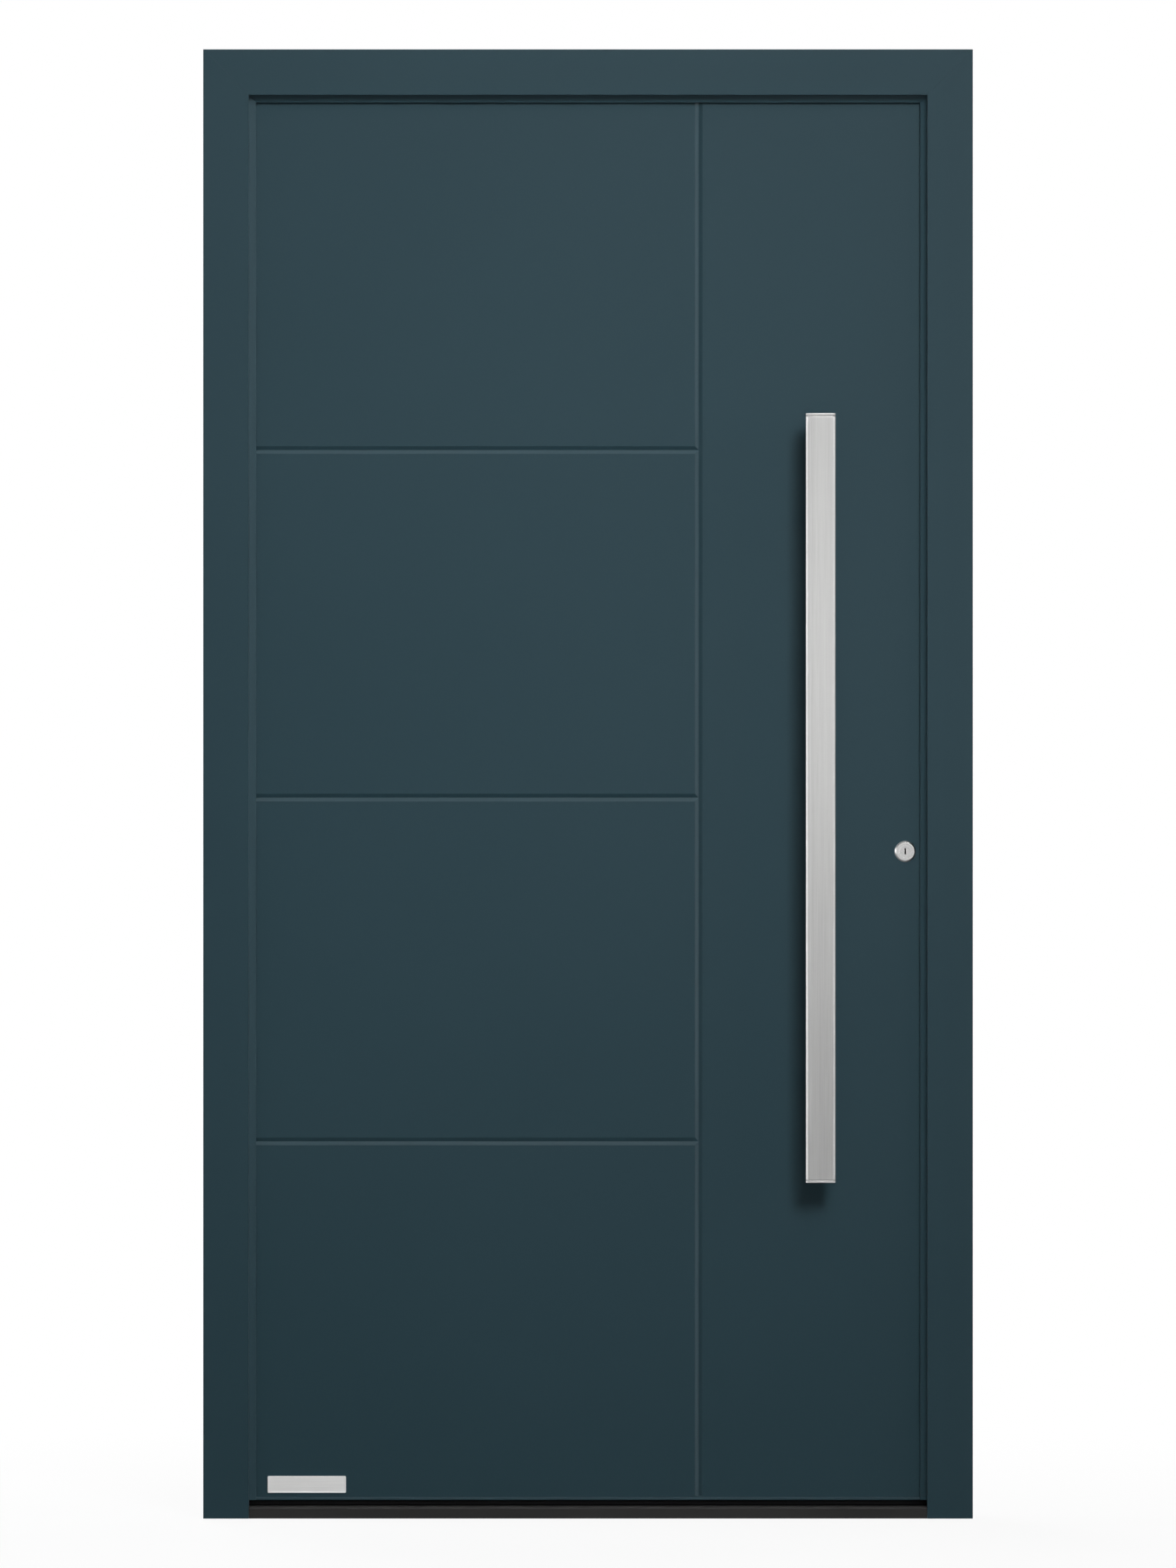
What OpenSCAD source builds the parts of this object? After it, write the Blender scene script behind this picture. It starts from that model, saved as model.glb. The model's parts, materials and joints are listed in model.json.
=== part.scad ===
// Panelled front door with its frame: an inward opening leaf in a three-sided thermally broken frame.
// X runs to the right seen from outside, -Y is outside, +Z is up.
// The origin lies on the floor, midway between the jambs and midway through the frame's depth.

/* [Frame] */
// Overall width of the frame
frame_w = 1100; // [900:1:1300]
// Overall height of the frame
frame_h = 2100; // [1990:1:2400]
// Depth of the frame from outside to inside
frame_d = 80; // [78:0.5:100]
// Width of the flat outer face of the jambs and head
face_w = 65; // [62:0.5:80]
// Depth from the outer face back to the stop lip
step_d = 13; // [10:0.5:15]
// Width of the stop lip that shows inside the face
lip_w = 10; // [6:0.5:16]
// How far the lip slopes back across its width
lip_fall = 2; // [1:0.25:4]
// Thickness of the lip at its tip
lip_t = 2; // [1.5:0.25:3]
// Width of the jambs behind the lip, from the wall to the rebate
jamb_w = 46; // [44:0.5:50]
// Wall thickness of the frame extrusions
shell_t = 2; // [1.6:0.1:2.4]
// Depth of the inner frame extrusion
inner_shell_d = 40; // [36:0.5:42]
// Width of the thermal break between the two extrusions
break_d = 18; // [14:0.5:20]
// Width of the hardware channel in the rebate
channel_w = 24.4; // [24.2:0.1:26]
// Depth of the hardware channel
channel_d = 3; // [3:0.25:4]
// Leg length of the corner cleats
cleat_leg = 110; // [80:1:160]

/* [Frame fixings] */
// Radius of the fixing holes through the jambs
fix_r = 4.1; // [3:0.1:6]
// Distance from the ends of the jambs to the outer fixing holes
fix_end = 150; // [120:1:200]
// Spacing of the inner pair of fixing holes
fix_near = 550; // [500:1:600]

/* [Threshold] */
// Height of the threshold
sill_h = 17; // [14:0.5:19]
// Setback of the threshold behind the outer face
sill_setback = 2; // [0:0.5:6]
// Width of the threshold's plastic core
sill_core = 20; // [12:0.5:26]
// Wall thickness of the threshold
sill_t = 2; // [1.5:0.1:3]

/* [Leaf] */
// Gap between the leaf's edge and the rebate
leaf_gap = 5; // [4:0.25:6]
// Gap between the lip and the leaf's outer face
seal_gap = 3; // [2.5:0.25:4]
// Height of the leaf's lower edge above the floor
leaf_bottom = 25.5; // [22:0.5:30]
// Thickness of the leaf's outer and inner sheets
skin_t = 2; // [1.2:0.1:2.5]
// Depth of the folded edge of the outer sheet
outer_return = 14; // [10:0.5:18]
// Depth of the folded edge of the inner sheet
inner_return = 6; // [4:0.5:7]
// Width of the leaf's edge profiles
stile_w = 80; // [78:1:100]
// Wall thickness of the edge profiles
stile_t = 3; // [2:0.25:4]
// Thickness of the edge profiles' outer edge
edge_t = 6; // [5:0.25:8]

/* [Pressed grooves] */
// Distance from the leaf's lock edge to the upright groove
groove_edge = 340.5; // [300:0.5:400]
// Height of the lower groove
groove_low_z = 538.5; // [400:0.5:600]
// Height of the middle groove
groove_mid_z = 1030.5; // [900:0.5:1150]
// Height of the upper groove
groove_top_z = 1528; // [1450:0.5:1700]
// Width of the grooves
groove_w = 11; // [6:0.5:14]
// Depth of the grooves
groove_d = 3; // [2:0.25:6]
// How far the grooves run on behind the lip
groove_hide = 6; // [3:0.5:8]
// Distance from the leaf's lower edge to the upright groove
groove_foot = 5.5; // [4:0.5:20]

/* [Bar handle] */
// Distance from the leaf's lock edge to the middle of the bar
bar_edge = 167.5; // [154:0.5:210]
// Height of the middle of the bar
bar_mid_z = 1030; // [950:1:1150]
// Length of the bar with its end caps
bar_len = 1096; // [800:1:1400]
// Width of the bar
bar_w = 42; // [30:0.5:50]
// Depth of the bar
bar_d = 30; // [24:0.5:40]
// Clear gap between the bar and the leaf
bar_gap = 42; // [35:0.5:60]
// Wall thickness of the bar
bar_t = 2; // [1.5:0.1:3]
// Chamfer along the bar's edges
bar_chamfer = 2.5; // [1:0.25:4]
// Thickness of the bar's end caps
bar_cap = 3; // [2:0.25:6]
// Width of the shadow joint between the bar and its caps
bar_joint = 1; // [0.5:0.25:2]
// Distance from the bar's ends to its posts
post_inset = 150; // [80:1:220]
// Radius of the posts
post_r = 11; // [8:0.5:13]
// Radius of the collars at the foot of the posts
collar_r = 16; // [15:0.5:20]

/* [Lock] */
// Distance from the leaf's edge to the lock's axes
backset = 45; // [42:0.5:46]
// Depth of the lock plane behind the middle of the frame
lock_y = 20; // [19.5:0.25:20.5]
// Height of the key cylinder
cyl_z = 953.5; // [930:0.5:970]
// Spacing between the key cylinder and the lever
lever_rise = 92; // [88:0.5:100]
// Width of the faceplate
plate_w = 24; // [22:0.25:24]
// Thickness of the faceplate
plate_t = 3; // [2.5:0.25:3]
// Distance from the leaf's lower edge to the faceplate
plate_foot = 179.5; // [160:0.5:190]
// Distance from the leaf's upper edge to the faceplate
plate_head = 204; // [160:0.5:230]
// Thickness of the lock cases
case_t = 16; // [15.5:0.25:17]
// Depth of the main lock case behind the faceplate
case_d = 70; // [68:0.5:72]
// Thickness of the lock cases' sheet
case_wall = 1.6; // [1.2:0.1:1.7]
// Distance from the faceplate's lower end to the lower bolt
bolt_foot = 133.5; // [100:0.5:160]
// Distance from the faceplate's upper end to the upper bolt
bolt_head = 276.5; // [200:0.5:320]
// Depth of the sliding bolts' cases
bolt_case_d = 46; // [44:0.5:60]
// Throw of the latch
latch_throw = 12; // [10:0.5:13]
// Throw of the deadbolt and the sliding bolts
bolt_throw = 20; // [16:0.5:21]
// Thickness of the latch and the bolts
bolt_t = 12; // [10:0.25:12]
// Height of the latch and the bolts
bolt_h = 20; // [16:0.5:22]
// Length of the bolts
bolt_len = 38; // [34:0.5:40]

/* [Cylinder and roses] */
// Radius of the cylinder's round head
head_r = 8.5; // [8:0.1:9]
// Width of the cylinder's web
web_w = 10; // [9:0.25:11]
// Height of the cylinder
cyl_h = 33; // [32:0.25:34]
// Radius of the key plugs
plug_r = 6.5; // [6:0.1:7]
// Reach of the cam's nose
cam_r = 15; // [13:0.25:15.5]
// Width of the cam
cam_w = 9.4; // [8:0.1:11]
// Radius of the outer rose
rose_r = 15; // [14:0.5:20]
// Height of the outer rose
rose_h = 4; // [3:0.25:6]
// Radius of the inner roses
inner_rose_r = 26; // [24.5:0.5:28]
// Height of the inner roses
inner_rose_h = 7; // [5:0.25:10]

/* [Lever] */
// Length of the lever's grip
grip_len = 125; // [100:1:140]
// Radius of the lever's neck and grip
grip_r = 9.5; // [8:0.25:11]
// Distance from the leaf to the middle of the grip
grip_out = 40; // [34:0.5:60]
// Width of the square spindle
spindle_w = 8; // [7:0.25:9]

/* [Hinges] */
// Height of the bottom hinge
hinge_low_z = 230; // [180:1:300]
// Height of the middle hinge
hinge_mid_z = 1050; // [1000:1:1100]
// Distance from the frame's top to the top hinge
hinge_drop = 250; // [220:1:300]
// Radius of the hinge barrels
barrel_r = 11; // [9:0.25:11.5]
// Distance from the inner face to the hinge axis
hinge_out = 13; // [13:0.25:16]
// Length of the leaf's knuckle
knuckle_leaf = 70; // [50:1:90]
// Length of each of the frame's knuckles
knuckle_frame = 35; // [25:1:45]
// Radius of the hinge pin
pin_r = 6; // [4:0.25:7]
// Thickness of the hinge wings
wing_t = 5; // [4:0.25:6]
// Width of the hinge wings
wing_w = 30; // [26:0.5:34]
// Height of the lower hinge-side security pin
dog_low_z = 640; // [560:1:700]
// Height of the upper hinge-side security pin
dog_top_z = 1440; // [1390:1:1500]
// Radius of the hinge-side security pins
dog_r = 6; // [5:0.25:6.5]

/* [Nameplate] */
// Distance from the leaf's hinge edge to the plate
tag_edge = 40.5; // [34:0.5:160]
// Lower edge of the plate
tag_z = 35.5; // [32:0.5:80]
// Width of the plate
tag_w = 112; // [60:1:160]
// Height of the plate
tag_h = 24; // [15:0.5:40]
// Thickness of the plate
tag_t = 1.2; // [0.8:0.1:2]

/* [Clearances] */
// Clearance around pieces that slip into one another
fit = 0.15; // [0.1:0.05:0.25]
// Radial clearance of turning pieces
run = 0.06; // [0.03:0.01:0.1]
// Clearance around the sliding bolts
slide = 0.4; // [0.3:0.05:0.5]
// Gap between seals and what they close on
seal_clear = 0.3; // [0.3:0.05:0.5]

/* [Hidden] */
$fn = 96;
// Overcut that carries a cut past a face
over = 1;

// Depths of the frame's surfaces
outside = -frame_d / 2;
inside = frame_d / 2;
lip_y = outside + step_d;
lip_back = lip_y + lip_fall + lip_t;
inner_front = inside - inner_shell_d;
outer_back = inner_front - break_d;
lip_edge = face_w + lip_w;

// Thermal break strips with dovetail heads
break_seats = [8, 38];
dove_neck = 3;
dove_root = 4.4;
dove_d = 2.5;
dove_pad = 8;

// Gasket slot in the back of the lip
slot_inset = 5;
slot_u = face_w - slot_inset;
slot_neck = 3;
slot_cav = 6;
slot_d = 5;
slot_lip = 1.5;
bulb_r = seal_gap - seal_clear;
gasket_joint = fit;

// Hardware channel in the rebate
channel_y0 = lock_y - channel_w / 2;
channel_y1 = lock_y + channel_w / 2;
channel_floor = jamb_w - channel_d;

// Heights of the fixing holes
fix_mid_z = frame_h / 2;
fix_far = frame_h - 2 * fix_end;

// The leaf's box
leaf_x = frame_w / 2 - jamb_w - leaf_gap;
leaf_top = frame_h - jamb_w - leaf_gap;
leaf_y0 = lip_back + seal_gap;
leaf_y1 = inside;
band_y0 = leaf_y0 + outer_return;
band_y1 = leaf_y1 - inner_return;
core_x = leaf_x - stile_w;
core_z0 = leaf_bottom + stile_w;
core_z1 = leaf_top - stile_w;

// Seal and drip trim at the foot of the leaf
foot_inset = 1;
foot_w = 9;
foot_chamfer = 1.5;
foot_bore = 1.8;
drip_gap = 1.5;
sill_slope = 6;

// Grooves pressed into the outer sheet, with the ridge that shows behind it
groove_x = leaf_x - groove_edge;
groove_k = groove_w / 2 / groove_d;
groove_slope = atan(1 / groove_k);
ridge_apex = groove_d + skin_t / cos(groove_slope);
groove_left = -(frame_w / 2 - lip_edge + groove_hide);
groove_top = frame_h - lip_edge + groove_hide;
groove_heights = [groove_low_z, groove_mid_z, groove_top_z];

// Lock axes and cases
lock_x = leaf_x - backset;
lever_z = cyl_z + lever_rise;
plate_x = leaf_x - plate_t;
case_y0 = lock_y - case_t / 2;
case_y1 = lock_y + case_t / 2;
case_foot = 55;
case_head = 65;
case_z0 = cyl_z - case_foot;
case_z1 = lever_z + case_head;
case_x = plate_x - case_d;
bolt_case_x = plate_x - bolt_case_d;
bolt_case_h = 70;
deadbolt_z = cyl_z + lever_rise / 2;
bolt_y0 = lock_y - bolt_t / 2;
bolt_y1 = lock_y + bolt_t / 2;
bolt_nose = 1.5;
plate_z0 = leaf_bottom + plate_foot;
plate_z1 = leaf_top - plate_head;
upper_bolt_z = plate_z1 - bolt_head;
lower_bolt_z = plate_z0 + bolt_foot;

// Follower that draws the latch back
hub_r = 11;
journal_r = 9;
arm_w = 6;
arm_r = hub_r + arm_w;
tail_rise = 6;
tail_gap = 1;
latch_z = lever_z + arm_r + tail_gap + bolt_h / 2 - tail_rise;
tail_h = 8;
tail_t = 6;
latch_body = 20;
hook_gap = 2;
hook_w = 4;

// Drive rods behind the faceplate
rod_t = 5;
rod_w = 8;
rod_back = 2;
rod_lap = 15;
rod_x1 = plate_x - rod_back;
rod_x0 = rod_x1 - rod_t;

// Strike plates in the hardware channel
plate_corner = 3;
strike_x = frame_w / 2 - jamb_w;
strike_over = 20;
strike_hole_h = bolt_h + 4;
strike_hole_w = case_t;

// Key cylinder
cyl_sunk = 4;
cyl_proud = 2;
cyl_y0 = leaf_y0 + cyl_sunk;
cyl_y1 = leaf_y1 + inner_rose_h + cyl_proud;
web_drop = cyl_h - head_r - web_w / 2;
cam_gap = cam_w + 4 * fit;
cam_nose_w = 7;
keyway_w = 2.4;
keyway_h = 9;
keyway_d = 20;

// Outer rose with its turning keyway disc
disc_r = 8.6;
disc_sunk = 0.5;
rose_spigot = 12;

// Lever and its rose
neck_gap = 1;
neck_y0 = leaf_y1 + neck_gap;
grip_y = leaf_y1 + grip_out;
hub_hole = 12;
rose_bevel = 2;

// Hinge axis and knuckles
hinge_x = -(frame_w / 2 - jamb_w - leaf_gap / 2);
hinge_y = inside + hinge_out;
hinge_top_z = frame_h - hinge_drop;
knuckle_gap = 0.4;
hinge_h = knuckle_leaf + 2 * knuckle_frame + 2 * knuckle_gap;
wing_gap = 1.5;
wing_off = barrel_r + wing_gap;
blind = 6;
head_t = 4;
dog_out = 13;
dog_taper = 3;
dog_hole = dog_r + 2;
keep_h = 60;

// Bar handle
bar_x = leaf_x - bar_edge;
bar_z0 = bar_mid_z - bar_len / 2;
bar_z1 = bar_mid_z + bar_len / 2;
bar_back = leaf_y0 - bar_gap;
bar_front = bar_back - bar_d;
plug_d = 20;
stud_r = 5;
stud_in = 30;
stud_out = 25;
collar_h = 4;
flange_r = 14;
flange_t = 3;
posts = [bar_z0 + post_inset, bar_z1 - post_inset];

// Nameplate
tag_x = -leaf_x + tag_edge;
tag_corner = 1.5;

// Colours seen on the object
paint = [0.20, 0.27, 0.30];
dark_alu = [0.17, 0.17, 0.17];
steel = [0.74, 0.74, 0.73];
zinc = [0.62, 0.63, 0.62];
rubber = [0.03, 0.03, 0.035];
plastic = [0.09, 0.09, 0.10];
foam = [0.83, 0.76, 0.55];
brass = [0.72, 0.62, 0.36];

// Shared shapes

module box(x0, x1, y0, y1, z0, z1) {
    translate([x0, y0, z0]) cube([x1 - x0, y1 - y0, z1 - z0]);
}

// Extrudes an outline drawn in Y and Z along X
module along_x(x0, x1) {
    translate([x0, 0, 0]) rotate([90, 0, 90]) linear_extrude(x1 - x0) children();
}

// Extrudes an outline drawn in X and Z along Y
module along_y(y0, y1) {
    translate([0, y1, 0]) rotate([90, 0, 0]) linear_extrude(y1 - y0) children();
}

// Extrudes an outline drawn in X and Y along Z
module along_z(z0, z1) {
    translate([0, 0, z0]) linear_extrude(z1 - z0) children();
}

// Stands a shape turned about Z on an axis along Y
module about_y(x, y, z) {
    translate([x, y, z]) rotate([-90, 0, 0]) children();
}

module rod_y(x, z, y0, y1, r) {
    about_y(x, y0, z) cylinder(h = y1 - y0, r = r);
}

module rod_x(y, z, x0, x1, r) {
    translate([x0, y, z]) rotate([0, 90, 0]) cylinder(h = x1 - x0, r = r);
}

module rounded(w, h, r) {
    translate([r, 0]) square([w - 2 * r, h]);
    translate([0, r]) square([w, h - 2 * r]);
    for (cx = [r, w - r], cz = [r, h - r]) translate([cx, cz]) circle(r);
}

// Turns a distance from the wall into a position on the hinge side
function from_wall(u) = u - frame_w / 2;

module mirrored_x() {
    mirror([1, 0, 0]) children();
}

// Frame sections, drawn as distance from the wall and depth

module dovetail(u, y, way) {
    polygon([
        [u - dove_neck / 2, y - way * over], [u + dove_neck / 2, y - way * over],
        [u + dove_neck / 2, y], [u + dove_root / 2, y + way * dove_d],
        [u - dove_root / 2, y + way * dove_d], [u - dove_neck / 2, y]
    ]);
}

module break_strip(u) {
    polygon([
        [u - dove_root / 2, outer_back - dove_d], [u + dove_root / 2, outer_back - dove_d],
        [u + dove_neck / 2, outer_back], [u + dove_neck / 2, inner_front],
        [u + dove_root / 2, inner_front + dove_d], [u - dove_root / 2, inner_front + dove_d],
        [u - dove_neck / 2, inner_front], [u - dove_neck / 2, outer_back]
    ]);
}

module gasket_slot(shrink) {
    cav = slot_cav - 2 * shrink;
    neck = slot_neck - 2 * shrink;
    translate([slot_u - neck / 2, lip_back - slot_lip - over]) square([neck, slot_lip + 2 * over]);
    translate([slot_u - cav / 2, lip_back - slot_d + shrink])
        square([cav, slot_d - slot_lip - 2 * shrink]);
}

module outer_section() {
    slot_floor = lip_back - slot_d;
    difference() {
        polygon([
            [0, outside], [face_w, outside], [face_w, lip_y], [lip_edge, lip_y + lip_fall],
            [lip_edge, lip_back], [jamb_w, lip_back], [jamb_w, outer_back], [0, outer_back]
        ]);
        difference() {
            polygon([
                [shell_t, outside + shell_t], [face_w - shell_t, outside + shell_t],
                [face_w - shell_t, slot_floor - shell_t], [jamb_w - shell_t, slot_floor - shell_t],
                [jamb_w - shell_t, outer_back - shell_t], [shell_t, outer_back - shell_t]
            ]);
            for (u = break_seats) translate([u - dove_pad / 2, outer_back - dove_d - shell_t])
                square([dove_pad, dove_d + shell_t]);
        }
        for (u = break_seats) dovetail(u, outer_back, -1);
        gasket_slot(0);
    }
}

module inner_section() {
    t = shell_t;
    difference() {
        polygon([
            [0, inner_front], [jamb_w, inner_front], [jamb_w, channel_y0], [channel_floor, channel_y0],
            [channel_floor, channel_y1], [jamb_w, channel_y1], [jamb_w, inside], [0, inside]
        ]);
        difference() {
            polygon([
                [t, inner_front + t], [jamb_w - t, inner_front + t],
                [jamb_w - t, channel_y0 - t], [channel_floor - t, channel_y0 - t],
                [channel_floor - t, channel_y1 + t], [jamb_w - t, channel_y1 + t],
                [jamb_w - t, inside - t], [t, inside - t]
            ]);
            for (u = break_seats) translate([u - dove_pad / 2, inner_front])
                square([dove_pad, dove_d + t]);
        }
        for (u = break_seats) dovetail(u, inner_front, 1);
    }
}

module gasket_section() {
    intersection() {
        gasket_slot(fit);
        translate([0, lip_back - slot_d]) square([face_w, slot_d]);
    }
    difference() {
        intersection() {
            translate([slot_u, lip_back]) circle(bulb_r);
            translate([slot_u - bulb_r, lip_back]) square(2 * bulb_r);
        }
        translate([slot_u, lip_back + bulb_r / 2]) circle(bulb_r / 3);
    }
}

// Upright run of a frame section on the hinge side, mitred at the head
module jamb_run() {
    reach = lip_edge + over;
    translate([-frame_w / 2, 0, 0]) intersection() {
        linear_extrude(frame_h) children();
        along_y(outside - over, inside + over) polygon([
            [-over, 0], [reach, 0], [reach, frame_h - reach], [-over, frame_h + over]
        ]);
    }
}

// Level run of a frame section across the head, mitred at both ends
module head_run() {
    reach = lip_edge + over;
    half = frame_w / 2;
    intersection() {
        translate([-half, 0, frame_h]) rotate([0, 90, 0]) linear_extrude(frame_w) children();
        along_y(outside - over, inside + over) polygon([
            [-half - over, frame_h + over], [half + over, frame_h + over],
            [half - reach, frame_h - reach], [-half + reach, frame_h - reach]
        ]);
    }
}

module fixing_holes() {
    for (way = [-1, 1], gap = [fix_far, fix_near])
        rod_x(lock_y, fix_mid_z + way * gap / 2, -frame_w / 2 - over, -frame_w / 2 + jamb_w, fix_r);
}

module jamb_outer() {
    difference() {
        jamb_run() outer_section();
        box(-frame_w / 2 + face_w, -frame_w / 2 + lip_edge + over, outside - over, lip_back + over,
            -over, leaf_bottom);
    }
}

module jamb_inner() {
    difference() {
        jamb_run() inner_section();
        fixing_holes();
    }
}

module hinge_jamb_outer() {
    color(paint) jamb_outer();
}

module hinge_jamb_inner() {
    color(paint) difference() {
        jamb_inner();
        for (z = [dog_low_z, dog_top_z])
            rod_x(lock_y, z, from_wall(channel_floor - 2 * shell_t), -strike_x + over, dog_hole);
    }
}

module lock_jamb_outer() {
    color(paint) mirrored_x() jamb_outer();
}

module lock_jamb_inner() {
    color(paint) difference() {
        mirrored_x() jamb_inner();
        for (z = [latch_z, deadbolt_z, upper_bolt_z, lower_bolt_z])
            strike_hole(strike_x - over, -from_wall(channel_floor - 2 * shell_t), z);
    }
}

module head_outer() {
    color(paint) head_run() outer_section();
}

module head_inner() {
    color(paint) head_run() inner_section();
}

module frame_breaks() {
    color(plastic) for (u = break_seats) {
        jamb_run() break_strip(u);
        mirrored_x() jamb_run() break_strip(u);
        head_run() break_strip(u);
    }
}

// Corner cleat that fills a chamber from one side of the frame to the next
module cleat(u1, y0, y1) {
    low = shell_t + fit;
    high = u1 - fit;
    along_y(y0 + fit, y1 - fit) translate([-frame_w / 2, frame_h]) polygon([
        [low, -low], [cleat_leg, -low], [cleat_leg, -high], [high, -high],
        [high, -cleat_leg], [low, -cleat_leg]
    ]);
}

module corner_cleats() {
    pad = dove_d + shell_t;
    color(zinc) for (way = [0, 1]) mirror([way, 0, 0]) {
        cleat(jamb_w - shell_t, outside + shell_t, lip_back - slot_d - shell_t);
        cleat(channel_floor - shell_t, inner_front + pad, inside - shell_t);
    }
}

module frame_gasket() {
    color(rubber) {
        for (way = [0, 1]) mirror([way, 0, 0]) difference() {
            translate([0, 0, -gasket_joint]) jamb_run() gasket_section();
            box(-frame_w / 2, 0, outside, inside, -2 * over, leaf_bottom);
        }
        head_run() gasket_section();
    }
}

// Threshold, drawn as depth and height

module threshold_run() {
    half = frame_w / 2 - jamb_w - fit;
    along_x(-half, half) children();
}

module threshold_outer() {
    front = outside + sill_setback;
    back = -sill_core / 2;
    shoulder = frame_w / 2 - face_w - fit;
    color(dark_alu) difference() {
        threshold_run() difference() {
            polygon([
                [front, 0], [back, 0], [back, sill_h], [front + sill_t, sill_h - sill_t / 2],
                [front, sill_h - 1.5 * sill_t]
            ]);
            translate([front + sill_t, sill_t]) square([back - front - 2 * sill_t, sill_h - 2.5 * sill_t]);
        }
        for (way = [0, 1]) mirror([way, 0, 0])
            box(shoulder, frame_w / 2, outside - over, lip_back + fit, -over, sill_h + over);
    }
}

module threshold_core() {
    web = sill_core / 2 - 1.5 * sill_t;
    color(plastic) threshold_run() difference() {
        translate([-sill_core / 2, 0]) square([sill_core, sill_h]);
        for (y = [-sill_core / 2 + sill_t, sill_t / 2])
            translate([y, sill_t]) square([web, sill_h - 2 * sill_t]);
    }
}

module threshold_inner() {
    front = sill_core / 2;
    color(dark_alu) threshold_run() difference() {
        polygon([
            [front, 0], [inside, 0], [inside, sill_h / 2], [inside - sill_slope, sill_h], [front, sill_h]
        ]);
        translate([front + sill_t, sill_t])
            square([inside - sill_slope - front - 2 * sill_t, sill_h - 2 * sill_t]);
    }
}

// Strike plates and keeps in the hardware channel

module strike_hole(x0, x1, z) {
    box(x0, x1, lock_y - strike_hole_w / 2, lock_y + strike_hole_w / 2,
        z - strike_hole_h / 2, z + strike_hole_h / 2);
}

// Flush plate in the channel of the lock jamb
module channel_plate(z0, z1) {
    along_x(strike_x, strike_x + channel_d) translate([lock_y - plate_w / 2, z0])
        rounded(plate_w, z1 - z0, plate_corner);
}

module strike(low_z, high_z) {
    difference() {
        channel_plate(low_z - strike_hole_h / 2 - strike_over, high_z + strike_hole_h / 2 + strike_over);
        for (z = [low_z, high_z]) strike_hole(strike_x - over, strike_x + channel_d + over, z);
    }
}

module main_strike() {
    color(steel) strike(deadbolt_z, latch_z);
}

module upper_strike() {
    color(steel) strike(upper_bolt_z, upper_bolt_z);
}

module lower_strike() {
    color(steel) strike(lower_bolt_z, lower_bolt_z);
}

module dog_keeps() {
    color(steel) for (z = [dog_low_z, dog_top_z]) difference() {
        mirrored_x() channel_plate(z - keep_h / 2, z + keep_h / 2);
        rod_x(lock_y, z, -strike_x - channel_d - over, -strike_x + over, dog_hole);
    }
}

// Hinges, turned about their upright axis

module hinge_place(z) {
    translate([hinge_x, hinge_y, z - hinge_h / 2]) children();
}

module knuckle(z0, z1) {
    translate([0, 0, z0]) cylinder(h = z1 - z0, r = barrel_r);
}

// Web from a wing to a knuckle, towards the frame for way -1 and the leaf for way 1
module knuckle_web(way, z0, z1) {
    x0 = way < 0 ? -wing_off : 0;
    box(x0, x0 + wing_off, -hinge_out, wing_t - hinge_out, z0, z1);
    box(way < 0 ? -barrel_r : 0, way < 0 ? 0 : barrel_r, -hinge_out + wing_t - over, 0, z0, z1);
}

module wing_plate(way) {
    x0 = way < 0 ? -wing_off - wing_w : wing_off;
    translate([x0, 0, 0]) along_y(-hinge_out, wing_t - hinge_out) rounded(wing_w, hinge_h, plate_corner);
}

module frame_wing(z) {
    low1 = knuckle_frame;
    high0 = hinge_h - knuckle_frame;
    color(steel) hinge_place(z) difference() {
        union() {
            wing_plate(-1);
            for (span = [[0, low1], [high0, hinge_h]]) {
                knuckle(span[0], span[1]);
                intersection() {
                    knuckle_web(-1, span[0], span[1]);
                    box(-wing_off - over, -leaf_gap / 2, -hinge_out, 0, span[0], span[1]);
                }
            }
        }
        translate([0, 0, blind]) cylinder(h = hinge_h, r = pin_r + run);
    }
}

module leaf_wing(z) {
    z0 = knuckle_frame + knuckle_gap;
    color(steel) hinge_place(z) difference() {
        union() {
            wing_plate(1);
            knuckle(z0, z0 + knuckle_leaf);
            intersection() {
                knuckle_web(1, z0, z0 + knuckle_leaf);
                box(leaf_gap / 2, wing_off + over, -hinge_out, 0, z0, z0 + knuckle_leaf);
            }
        }
        cylinder(h = hinge_h, r = pin_r + run);
    }
}

module hinge_pin(z) {
    color(steel) hinge_place(z) {
        translate([0, 0, blind + fit]) cylinder(h = hinge_h - blind, r = pin_r);
        translate([0, 0, hinge_h + fit]) rotate_extrude() polygon([
            [0, 0], [barrel_r, 0], [barrel_r, head_t / 2], [barrel_r - head_t / 2, head_t], [0, head_t]
        ]);
    }
}

module hinge_bottom_frame_wing() {
    frame_wing(hinge_low_z);
}

module hinge_middle_frame_wing() {
    frame_wing(hinge_mid_z);
}

module hinge_top_frame_wing() {
    frame_wing(hinge_top_z);
}

module hinge_bottom_leaf_wing() {
    leaf_wing(hinge_low_z);
}

module hinge_middle_leaf_wing() {
    leaf_wing(hinge_mid_z);
}

module hinge_top_leaf_wing() {
    leaf_wing(hinge_top_z);
}

module hinge_bottom_pin() {
    hinge_pin(hinge_low_z);
}

module hinge_middle_pin() {
    hinge_pin(hinge_mid_z);
}

module hinge_top_pin() {
    hinge_pin(hinge_top_z);
}

// Leaf

// Folded sheet with its face at one side and its edges turned in
module tray(y0, y1, in0, in1) {
    t = skin_t;
    difference() {
        box(-leaf_x, leaf_x, y0, y1, leaf_bottom, leaf_top);
        box(-leaf_x + t, leaf_x - t, in0, in1, leaf_bottom + t, leaf_top - t);
    }
}

// Vee that widens by the groove's slope, from depth y_open to its apex
module vee(apex, y_open) {
    half = (apex - y_open) * groove_k;
    polygon([
        [leaf_y0 + y_open, -half], [leaf_y0 + y_open, half], [leaf_y0 + apex, 0]
    ]);
}

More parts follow.
